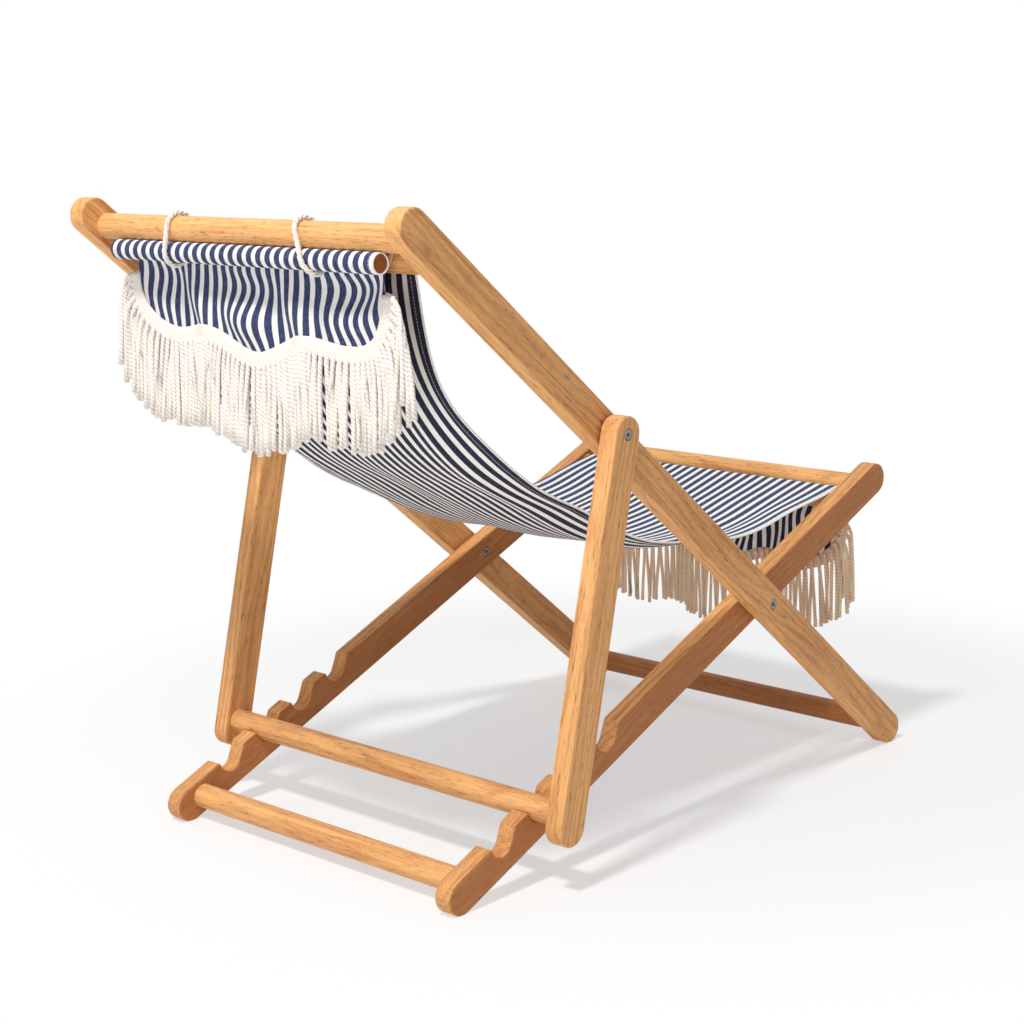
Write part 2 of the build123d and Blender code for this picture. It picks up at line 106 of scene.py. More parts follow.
def smooth_step(value: float) -> float:
    """A share eased from 0 to 1 and held at both ends."""
    share = clamp(value)
    return share * share * (3 - 2 * share)


def bell(value: float) -> float:
    """1 at 0, falling away on both sides."""
    return math.exp(-(value**2))


def heading(angle: float) -> Vector:
    """The side-view unit vector at an angle, from +Y towards +Z."""
    return Vector((math.cos(angle), math.sin(angle)))


def bearing(vector: Vector) -> float:
    """The angle of a side-view vector, from +Y towards +Z."""
    return math.atan2(vector.y, vector.x)


def signed_sweep(first: float, last: float, sense: int) -> float:
    """The sweep from one angle to another in one sense, under a full turn."""
    return sense * ((sense * (last - first)) % math.tau)


def distances(points: Sequence[Vector], start: float = 0.0) -> list[float]:
    """How far along a line each of its points lies, from a start."""
    return list(accumulate(((b - a).length for a, b in pairwise(points)), initial=start))


def span_at(sizes: Sequence[float], value: float) -> tuple[int, float]:
    """Find a place on joined spans.

    Args:
        sizes: How long each span is.
        value: How far along them all the place lies.

    Returns:
        The span's number and the share of it.
    """
    ends = list(accumulate(sizes))
    index = min(bisect_left(ends, value), len(ends) - 1)
    return index, min((value - ends[index] + sizes[index]) / sizes[index], 1.0)


class End(Enum):
    """The two ends of the sling, with the way that each faces along Y."""

    BACK = 1
    FRONT = -1

    @property
    def body(self) -> str:
        """The frame that carries this end."""
        return "back_frame" if self is End.BACK else "seat_frame"

    @property
    def dowel(self) -> str:
        """The dowel inside the cloth's sleeve."""
        return self.node("sling_dowel")

    def node(self, kind: str) -> str:
        """The name of this end's node of some kind."""
        return f"{'top' if self is End.BACK else 'front'}_{kind}"


@dataclass(frozen=True)
class Round:
    """A round piece that runs along X, seen from the side, with its centre as (y, z)."""

    centre: Vector
    radius: float

    @classmethod
    def from_node(cls, node: str) -> "Round":
        """The side view of a node of the frame."""
        (_, front, bottom), (_, rear, top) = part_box(node)
        return cls(Vector(((front + rear) / 2, (bottom + top) / 2)), (top - bottom) / 2)


@dataclass(frozen=True)
class Straight:
    """A straight stretch of a side-view line."""

    start: Vector
    end: Vector

    @property
    def length(self) -> float:
        """How long the stretch is."""
        return (self.end - self.start).length

    def at(self, share: float) -> Vector:
        """The point at a share of the stretch."""
        return self.start.lerp(self.end, share)

    def reverse(self) -> "Straight":
        """The same stretch, run the other way."""
        return Straight(self.end, self.start)


@dataclass(frozen=True)
class Turn:
    """A round stretch of a side-view line, from one angle through a signed sweep."""

    centre: Vector
    radius: float
    angle: float
    sweep: float

    @property
    def length(self) -> float:
        """How long the stretch is."""
        return abs(self.sweep) * self.radius

    def at(self, share: float) -> Vector:
        """The point at a share of the stretch."""
        return self.centre + heading(self.angle + self.sweep * share) * self.radius

    def reverse(self) -> "Turn":
        """The same stretch, run the other way."""
        return Turn(self.centre, self.radius, self.angle + self.sweep, -self.sweep)


Stretch = Straight | Turn


def way_at(stretch: Stretch, share: float) -> Vector:
    """The way ahead at a share of a stretch."""
    return (stretch.at(share + SHARE_STEP) - stretch.at(share - SHARE_STEP)).normalized()


class Graph:
    """A material's or the world's nodes, with short ways to add and join them."""

    def __init__(self, owner: Material | bpy.types.World) -> None:
        """Start with the owner's own nodes.

        Args:
            owner: The new material or world.
        """
        owner.use_nodes = True
        self.owner = owner
        self.nodes = owner.node_tree.nodes
        self.links = owner.node_tree.links

    @classmethod
    def of_material(cls, name: str) -> "Graph":
        """The nodes of a new material."""
        return cls(bpy.data.materials.new(name))

    def feed(self, target: Socket, source: object) -> None:
        """Join a socket to a source, or set its value.

        Args:
            target: The socket that takes it.
            source: Another node's socket, or a plain value.
        """
        if isinstance(source, Socket):
            self.links.new(source, target)
        else:
            target.default_value = source

    def value(self, kind: str, inputs: Inputs, output: str | int = 0, **settings: object) -> Socket:
        """Add a node and feed it.

        Args:
            kind: The node's type, after ShaderNode.
            inputs: What its inputs take, sockets or plain values.
            output: Which of its results is wanted.
            **settings: Its properties.

        Returns:
            The result.
        """
        node = self.nodes.new(f"ShaderNode{kind}")
        for key, setting in settings.items():
            setattr(node, key, setting)
        for key, source in inputs.items():
            self.feed(node.inputs[key], source)
        return node.outputs[output]

    def object_place(self) -> Socket:
        """The point on the piece, in the chair's frame."""
        return self.value("TexCoord", {}, "Object")

    def cloth_place(self) -> Socket:
        """The point on the cloth or cord, in its own map."""
        return self.value("UVMap", {}, "UV", uv_map=CLOTH_UV)

    def mapped(self, place: Socket, **changes: Triple) -> Socket:
        """A place after its Scale, its Rotation and then its Location have changed."""
        return self.value("Mapping", {"Vector": place, **changes}, "Vector")

    def axis(self, place: Socket, name: str) -> Socket:
        """One of the X, Y and Z parts of a place."""
        return self.value("SeparateXYZ", {0: place}, name)

    def length(self, place: Socket) -> Socket:
        """How far a place lies from the origin."""
        return self.value("VectorMath", {0: place}, "Value", operation="LENGTH")

    def math(self, operation: str, *values: object) -> Socket:
        """What an operation makes of sockets and plain numbers."""
        return self.value("Math", dict(enumerate(values)), operation=operation)

    def wave(self, place: Socket, length: float) -> Socket:
        """A sine wave of some length along a place."""
        return self.math("SINE", self.math("MULTIPLY", place, math.tau / length))

    def total(self, start: object, *shares: tuple[Socket, float]) -> Socket:
        """Add up numbers.

        Args:
            start: A socket or a plain number.
            *shares: The numbers, each with its factor.

        Returns:
            The total.
        """
        for number, factor in shares:
            start = self.math("MULTIPLY_ADD", number, factor, start)
        return start

    def noise(
        self, place: Socket, scale: float = 1.0, detail: float = 2.0, rough: float = 0.5
    ) -> Socket:
        """Noise about 0.5 at a place, with some finer layers that are more or less strong."""
        inputs = {"Vector": place, "Scale": scale, "Detail": detail, "Roughness": rough}
        return self.value("TexNoise", inputs)

    def fade(self, number: Socket, low: float, high: float, ends: Pair = (0.0, 1.0)) -> Socket:
        """A number eased from one end at low to the other at high."""
        inputs = dict(zip(RANGE_INPUTS, (number, low, high, *ends)))
        return self.value("MapRange", inputs, interpolation_type="SMOOTHSTEP")

    def mix(self, share: object, first: object, second: object) -> Socket:
        """A blend of two colours, with a share of the second."""
        return self.value("Mix", {0: share, 6: first, 7: second}, 2, data_type="RGBA")

    def show(self, share: Socket, first: Socket, second: Socket) -> None:
        """Show a blend of two shaders, with a share of the second."""
        output = next(node for node in self.nodes if node.type.startswith("OUTPUT"))
        self.feed(output.inputs[0], self.value("MixShader", {0: share, 1: first, 2: second}))

    def seen_rays(self) -> Socket:
        """Tell the rays that show a surface to the eye, straight or by gloss or glass.

        Returns:
            1 for these rays and 0 for others.
        """
        rays = self.nodes.new("ShaderNodeLightPath").outputs
        straight_or_gloss = self.math("MAXIMUM", rays["Is Camera Ray"], rays["Is Glossy Ray"])
        return self.math("MAXIMUM", straight_or_gloss, rays["Is Transmission Ray"])

    @property
    def shader(self) -> bpy.types.Node:
        """The material's own shader."""
        return self.nodes["Principled BSDF"]

    def set(self, **values: object) -> None:
        """Feed the shader's sockets, named with underscores for spaces."""
        for key, value in values.items():
            self.feed(self.shader.inputs[key.replace("_", " ")], value)

    def soak(self, weight: float, depth: float) -> None:
        """Let a share of the light into the surface, to a depth."""
        self.set(Subsurface_Weight=weight, Subsurface_Radius=(depth,) * 3, Subsurface_Scale=1.0)

    def bump(self, height: Socket, distance: float, strength: float) -> None:
        """Raise the surface by a height, of which 1 stands for a distance."""
        inputs = {"Height": height, "Distance": distance, "Strength": strength}
        self.set(Normal=self.value("Bump", inputs))


@dataclass(frozen=True)
class Teak:
    """Oiled teak, with growth rings, fibres and open pores along one timber, and painted shade on
    its broad faces.

    Attributes:
        turn: The turn that lays the timber's length along Y.
        pith: Where the tree's middle lies from the timber's, across the grain.
        tone: How far the timber leans to the dark colour.
        face_tone: Painted shade: how much further its broad faces lean to the dark colour, which
            lie across X.
        face_at: How far these lie from its middle.
        face_edge: How far inside a broad face its painted shade starts, and where it is full.
    """

    name: str
    centre: Vector
    turn: Triple
    pith: Pair
    tone: float = 0.0
    face_tone: float = 0.0
    face_at: float = 0.012
    face_edge: Pair = (0.0018, 0.0002)
    light: Colour = srgb(251, 191, 124)
    dark: Colour = srgb(182, 116, 67)
    pore: Colour = srgb(120, 72, 38)
    ring_gap: float = 0.0085
    ring_wander: float = 7.0

    def build(self) -> Material:
        """Make the material.

        Returns:
            The material.
        """
        graph = Graph.of_material(self.name)
        turned = Euler(self.turn).to_matrix() @ self.centre
        offset = (self.pith[0] - turned.x, -turned.y, self.pith[1] - turned.z)
        place = graph.mapped(graph.object_place(), Rotation=self.turn, Location=offset)

        def grain(across: float, along: float, detail: float = 2.0, rough: float = 0.5) -> Socket:
            """Noise that varies so often in a metre across the timber and along it."""
            stretched = graph.mapped(place, Scale=(across, along, across))
            return graph.noise(stretched, 1.0, detail, rough)

        from_pith = graph.length(graph.mapped(place, Scale=(1, 0, 1)))
        wander = grain(across=17, along=2.6, detail=3)
        ring = graph.total(from_pith, (wander, self.ring_wander * self.ring_gap))
        late = graph.math("POWER", graph.total(0.5, (graph.wave(ring, self.ring_gap), 0.5)), 2.0)
        streak = grain(across=240, along=4.5, detail=4, rough=0.72)
        fibre = grain(across=760, along=16)
        mottle = grain(across=16, along=5)
        pits = graph.fade(grain(across=1050, along=62, detail=1), 0.57, 0.7)
        layers = ((late, 0.16), (streak, 0.75), (fibre, 0.5), (mottle, 0.45))
        depth = graph.total(self.tone - 0.47, *layers)
        # Painted shade: the broad side faces, which take less light than the edges, lean to the
        # dark colour.
        if self.face_tone:
            from_middle = graph.math("SUBTRACT", graph.axis(place, "X"), self.pith[0])
            edges = (self.face_at - inside for inside in self.face_edge)
            broad = graph.fade(graph.math("ABSOLUTE", from_middle), *edges)
            depth = graph.total(depth, (broad, self.face_tone))
        wood = graph.mix(graph.fade(depth, 0.0, 1.0), self.light, self.dark)
        pit_share = graph.math("MULTIPLY", pits, graph.total(0.4, (late, 0.3)))
        graph.set(Base_Color=graph.mix(pit_share, wood, self.pore))
        graph.set(Roughness=graph.total(0.42, (fibre, 0.22)), Specular_IOR_Level=0.25)
        height = graph.total(graph.math("MULTIPLY", fibre, 0.5), (pits, -0.6))
        graph.bump(height, distance=0.0004, strength=0.35)
        return graph.owner


@dataclass(frozen=True)
class StripedCanvas:
    """Woven cotton canvas in navy and white stripes along its length, with a stitched hem.

    The cloth's map is in metres: the first number runs across it and the second along it.

    Attributes:
        ragged: How far a stripe's edges wander, and how soft they are.
        phase: The middle of the navy stripe nearest to the cloth's middle.
        fold_at: How far the hem's fold lies from the cloth's middle.
        stitch_inset: How far the hem's stitches lie from that fold, on both layers.
        thread: From one thread of the weave to the next but one.
    """

    name: str
    period: float = 0.015
    navy_width: float = 0.0083
    ragged: float = 0.0006
    phase: float = 0.0052
    fold_at: float = 0.215
    stitch_inset: float = 0.0072
    stitch_pitch: float = 0.0042
    stitch_share: float = 0.72
    stitch_width: float = 0.0009
    thread: float = 0.0007
    navy: Colour = srgb(52, 58, 90)
    navy_worn: Colour = srgb(92, 102, 148)
    white: Colour = srgb(246, 245, 242)
    white_warm: Colour = srgb(234, 230, 223)
    stitch: Colour = srgb(176, 176, 184)
    soak: float = 0.3
    glow: float = 0.003

    def build(self) -> Material:
        """Make the material.

        Returns:
            The material.
        """
        graph = Graph.of_material(self.name)
        place = graph.cloth_place()
        across, along = graph.axis(place, "X"), graph.axis(place, "Y")
        half, soft = self.navy_width / 2, self.ragged / 2
        wander = graph.noise(graph.mapped(place, Scale=(700, 900, 1)), detail=1)
        from_phase = graph.math("SUBTRACT", across, self.phase + soft)
        shifted = graph.total(from_phase, (wander, self.ragged))
        from_navy = graph.math("PINGPONG", shifted, self.period / 2)
        pale = graph.fade(from_navy, half - soft, half + soft)
        slub = graph.noise(graph.mapped(place, Scale=(1400, 130, 1)))
        navy = graph.mix(graph.fade(slub, 0.44, 0.74), self.navy, self.navy_worn)
        white = graph.mix(graph.fade(slub, 0.3, 0.75), self.white, self.white_warm)
        stitch = self.stitches(graph, across, along)
        graph.set(Base_Color=graph.mix(stitch, graph.mix(pale, navy, white), self.stitch))
        graph.set(Roughness=0.92, Specular_IOR_Level=0.1, Sheen_Weight=0.03, Sheen_Roughness=0.6)
        graph.soak(self.soak, self.glow)
        warp, weft = (graph.wave(part, self.thread) for part in (across, along))
        weave = graph.total(slub, (graph.math("MULTIPLY", warp, weft), 0.25))
        graph.bump(graph.math("ADD", weave, stitch), distance=0.0004, strength=0.3)
        return graph.owner

    @classmethod
    def pair(cls, name: str, **sizes: float) -> tuple[Material, Material]:
        """Make the finishes of a cloth's two faces, of which the reverse carries painted shade in
        its darker navy and painted light in its paler warm white.

        Args:
            name: The face's name.
            **sizes: What differs from the usual cloth.

        Returns:
            The face's material and the reverse's.
        """
        # Painted shade and light: the reverse, for the side that lies in shade, takes a darker navy
        # and a paler warm white.
        reverse = cls(
            f"{name}_reverse",
            navy=srgb(36, 38, 56),
            navy_worn=srgb(66, 70, 100),
            white_warm=srgb(240, 236, 229),
            **sizes,
        )
        return cls(name, **sizes).build(), reverse.build()

    def stitches(self, graph: Graph, across: Socket, along: Socket) -> Socket:
        """Sew a line of stitches beside each long edge.

        Args:
            graph: The material's nodes.
            across: The place across the cloth.
            along: The place along it.

        Returns:
            1 on a stitch and 0 off it.
        """
        from_fold = graph.math("SUBTRACT", graph.math("ABSOLUTE", across), self.fold_at)
        off = graph.math("SUBTRACT", graph.math("ABSOLUTE", from_fold), self.stitch_inset)
        line = graph.math("LESS_THAN", graph.math("ABSOLUTE", off), self.stitch_width / 2)
        step = graph.math("FRACT", graph.math("DIVIDE", along, self.stitch_pitch))
        return graph.math("MULTIPLY", line, graph.math("LESS_THAN", step, self.stitch_share))


@dataclass(frozen=True)
class TwistedCotton:
    """Undyed cotton cord, twisted from plies, with painted shade in the grooves between them.

    The cord's map runs once round it in the first number and along it in metres in the second.

    Attributes:
        plies: How many plies show round it.
        pitch: How far a ply runs along the cord in one turn.
    """

    name: str
    plies: int = 2
    pitch: float = 0.0096
    pale: Colour = srgb(253, 249, 243)
    groove_shade: Colour = srgb(222, 196, 166)
    soak: float = 0.7
    glow: float = 0.002

    def build(self) -> Material:
        """Make the material.

        Returns:
            The material.
        """
        graph = Graph.of_material(self.name)
        place = graph.cloth_place()
        turn = graph.math("MULTIPLY", graph.axis(place, "X"), math.tau * self.plies)
        lay = graph.total(turn, (graph.axis(place, "Y"), math.tau * self.plies / self.pitch))
        # Painted shade: between the plies the colour darkens to the groove colour; the same dip
        # also raises the plies by bump.
        ply_dip_and_shade = graph.fade(graph.total(0.5, (graph.math("SINE", lay), 0.5)), 0.0, 0.5)
        fluff = graph.noise(graph.object_place(), scale=900)
        patch = graph.noise(graph.object_place(), scale=150)
        tone = graph.total(-0.35, (ply_dip_and_shade, 0.75), (fluff, 0.4), (patch, 0.6))
        graph.set(Base_Color=graph.mix(graph.fade(tone, 0.0, 0.9), self.groove_shade, self.pale))
        graph.set(**COTTON_SHINE)
        graph.soak(self.soak, self.glow)
        graph.bump(graph.total(ply_dip_and_shade, (fluff, 0.3)), distance=0.0009, strength=0.55)
        return graph.owner


@dataclass(frozen=True)
class WovenTape:
    """The cream tape that heads a fringe, with looped ribs along it."""

    name: str
    rib: float = 0.0062
    loop: float = 0.0044
    pale: Colour = srgb(252, 249, 244)
    shade: Colour = srgb(226, 210, 190)

    def build(self) -> Material:
        """Make the material.

        Returns:
            The material.
        """
        graph = Graph.of_material(self.name)
        place = graph.cloth_place()
        rib = graph.wave(graph.axis(place, "Y"), self.rib)
        loop = graph.wave(graph.axis(place, "X"), self.loop)
        knit = graph.total(0.5, (graph.math("MULTIPLY", rib, loop), 0.5))
        fluff = graph.noise(graph.object_place(), scale=1100)
        tone = graph.total(graph.math("MULTIPLY", knit, 0.4), (fluff, 0.7))
        graph.set(Base_Color=graph.mix(graph.fade(tone, 0.1, 0.8), self.shade, self.pale))
        graph.set(**COTTON_SHINE)
        graph.bump(tone, distance=0.0011, strength=0.9)
        return graph.owner


@dataclass(frozen=True)
class TurnedSteel:
    """Stainless steel, turned, with fine rings about its pivot.

    Attributes:
        axis_at: The pivot's place in the side view.
    """

    name: str
    axis_at: Pair
    bright: Colour = srgb(150, 148, 145)
    dull: Colour = srgb(92, 90, 87)
    ring_scale: float = 9000

    def build(self) -> Material:
        """Make the material.

        Returns:
            The material.
        """
        graph = Graph.of_material(self.name)
        shift = (0.0, -self.axis_at[0], -self.axis_at[1])
        place = graph.mapped(graph.object_place(), Location=shift)
        from_axis = graph.length(graph.mapped(place, Scale=(0, 1, 1)))
        rings = graph.noise(graph.mapped(from_axis, Scale=(self.ring_scale,) * 3), detail=1)
        smear = graph.fade(graph.noise(graph.object_place(), scale=420, detail=3), 0.35, 0.75)
        graph.set(Base_Color=graph.mix(smear, self.bright, self.dull), Metallic=1.0)
        graph.set(Roughness=graph.total(0.2, (rings, 0.3)))
        graph.bump(rings, distance=0.00008, strength=0.4)
        return graph.owner


def finished(name: str, mesh: Mesh, materials: Sequence[Material], thickness: float = 0.0) -> Piece:
    """Make a piece from a modelled mesh.

    Args:
        name: The piece's name.
        mesh: What was modelled. It is freed.
        materials: Its finishes. A sheet's other side takes the one after its own.
        thickness: The cloth's thickness, where the mesh is a sheet.

    Returns:
        The piece, at the origin.
    """
    data = bpy.data.meshes.new(name)
    mesh.to_mesh(data)
    mesh.free()
    for material in materials:
        data.materials.append(material)
    data.shade_smooth()
    piece = bpy.data.objects.new(name, data)
    bpy.context.scene.collection.objects.link(piece)
    if thickness:
        solidify = piece.modifiers.new("thickness", "SOLIDIFY")
        solidify.thickness = thickness
        solidify.offset = 0.0
        solidify.material_offset = min(len(materials) - 1, 1)
    return piece


def add_sheet(
    mesh: Mesh,
    cells: tuple[int, int],
    place: Callable[[float, float], Vector],
    flat: Callable[[float, float], Pair],
    finish: Callable[[float], int] = lambda along: 0,
) -> None:
    """Add a grid that is bent into place and mapped as it lay flat.

    Args:
        mesh: The mesh that it joins.
        cells: How many cells it has across and along.
        place: The point at its shares across and along.
        flat: The map's numbers at those shares.
        finish: The number of the finish at a share along.
    """
    layer = mesh.loops.layers.uv.get(CLOTH_UV) or mesh.loops.layers.uv.new(CLOTH_UV)
    made = bmesh.ops.create_grid(mesh, x_segments=cells[0], y_segments=cells[1], size=0.5)
    shares = {vert: (vert.co.x + 0.5, vert.co.y + 0.5) for vert in made["verts"]}
    for face in {face for vert in shares for face in vert.link_faces}:
        for loop in face.loops:
            loop[layer].uv = flat(*shares[loop.vert])
        face.material_index = finish(sum(shares[vert][1] for vert in face.verts) / len(face.verts))
    for vert, (across, along) in shares.items():
        vert.co = place(across, along)


def frames_along(path: Sequence[Vector]) -> list[tuple[Vector, Vector]]:
    """Find two steady directions across a path at each of its points.

    Args:
        path: The points.

    Returns:
        A normal and a binormal for each point, turned as little as can be.
    """
    normal = Vector((1, 0, 0))
    frames = []
    for index in range(len(path)):
        ahead = path[min(index + 1, len(path) - 1)] - path[max(index - 1, 0)]
        tangent = ahead.normalized()
        normal = (normal - tangent * normal.dot(tangent)).normalized()
        frames.append((normal.copy(), tangent.cross(normal)))
    return frames


def add_tube(
    mesh: Mesh,
    path: Sequence[Vector],
    radii: Sequence[float],
    sides: int,
    start: float = 0.0,
    finish: int = 0,
) -> None:
    """Add a tube along a path.

    Args:
        mesh: The mesh that it joins.
        path: The points that it follows.
        radii: Its radius at each point.
        sides: How many sides it has.
        start: Where its map starts along it.
        finish: The number of its finish.
    """
    frames = frames_along(path)
    reach = distances(path, start)
    last = len(path) - 1

    def place(across: float, along: float) -> Vector:
        """Find a point on the tube's skin.

        Args:
            across: Its share of the way round.
            along: Its share of the path's points.

        Returns:
            The point.
        """
        index, angle = round(along * last), across * math.tau
        normal, binormal = frames[index]
        return path[index] + (normal * math.cos(angle) + binormal * math.sin(angle)) * radii[index]

    def flat(across: float, along: float) -> Pair:
        """The point's numbers in the tube's map."""
        return across, reach[round(along * last)]

    add_sheet(mesh, (sides, last), place, flat, lambda along: finish)


def weld(mesh: Mesh) -> None:
    """Close seams and poles, and turn all faces outwards."""
    bmesh.ops.remove_doubles(mesh, verts=mesh.verts, dist=WELD_GAP)
    bmesh.ops.recalc_face_normals(mesh, faces=mesh.faces)


@dataclass
class TimberFrame:
    """The teak rails, struts and bars, and the dowels in the sling's sleeves.

    Attributes:
        piths: Where the tree's middle may lie from a timber's.
        tones: How far each kind of timber leans to the dark colour; for the seat rails and the foot
            bar, which stand in the chair's shade, this is partly painted shade.
        face_tones: Painted shade: how much further the broad side faces of rails and struts lean to
            the dark colour.
        rail_lines: The two nodes whose line gives the slope of rails and struts.
    """

    piths: tuple[Pair, ...] = ((0.07, 0.05), (-0.05, 0.08), (0.09, -0.03), (0.03, 0.09))
    tones: dict[str, float] = field(
        default_factory=lambda: {
            "back_rail": -0.13,
            "strut": -0.02,
            # Partly painted shade: the seat rails and the foot bar stand in the chair's shade.
            "seat_rail": 0.1,
            "foot_bar": 0.42,
            "rear_bar": 0.0,
            "prop_rod": 0.0,
            "top_bar": -0.1,
            "front_bar": -0.04,
            "top_slot_bar": 0.08,
            "front_slot_bar": 0.05,
        }
    )
    face_tones: dict[str, float] = field(
        default_factory=lambda: {"back_rail": 0.17, "strut": 0.0, "seat_rail": 0.38}
    )
    rail_lines: dict[str, tuple[str, str]] = field(
        default_factory=lambda: {
            "back_rail": ("foot_bar", "top_bar"),
            "seat_rail": ("rear_bar", "front_bar"),
            "strut": ("prop_rod", "strut_bolt_left"),
        }
    )
    # The dowels lean further to a deeper dark colour, partly as painted shade of their ends inside
    # the sleeves.
    dowel_tone: float = 0.6
    dowel_dark: Colour = srgb(146, 86, 38)

    def dress(self) -> None:
        """Give each timber its own grain."""
        for kind, tone in self.tones.items():
            if kind not in self.rail_lines:
                self.dress_timber(kind, turn=ALONG_X, tone=tone)
                continue
            low, high = (Round.from_node(node).centre for node in self.rail_lines[kind])
            turn = (-bearing(high - low), 0.0, 0.0)
            # Painted shade on the broad side faces of rails and struts.
            faces = self.face_tones[kind]
            for side in SIDES:
                self.dress_timber(f"{kind}_{side}", turn=turn, tone=tone, face_tone=faces)
        for end in End:
            self.dress_timber(end.dowel, turn=ALONG_X, tone=self.dowel_tone, dark=self.dowel_dark)

    def dress_timber(self, node: str, **finish: object) -> None:
        """Give one timber its grain.

        Args:
            node: The timber's node.
            **finish: What its teak takes besides its place and its pith.
        """
        low, high = (Vector(corner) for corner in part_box(node))
        pith = self.piths[sum(ord(letter) for letter in node) % len(self.piths)]
        half = (high.x - low.x) / 2
        teak = Teak(f"teak_{node}", (low + high) / 2, pith=pith, face_at=half, **finish)
        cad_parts[node].material_slots[0].material = teak.build()
        LOG.info("dressed %s", node)


@dataclass
class PivotHardware:
    """The steel pieces of the four pivots."""

    pivots: tuple[str, ...] = ("cross", "strut")
    kinds: tuple[str, ...] = ("bolt", "sleeve_nut", "washer")

    def dress(self) -> None:
        """Give each pivot's pieces turned steel."""
        for pivot in self.pivots:
            axis = Round.from_node(f"{pivot}_bolt_left").centre
            steel = TurnedSteel(f"steel_{pivot}_pivot", (axis.x, axis.y)).build()
            for node in (f"{pivot}_{kind}_{side}" for kind in self.kinds for side in SIDES):
                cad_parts[node].material_slots[0].material = steel
                LOG.info("dressed %s", node)


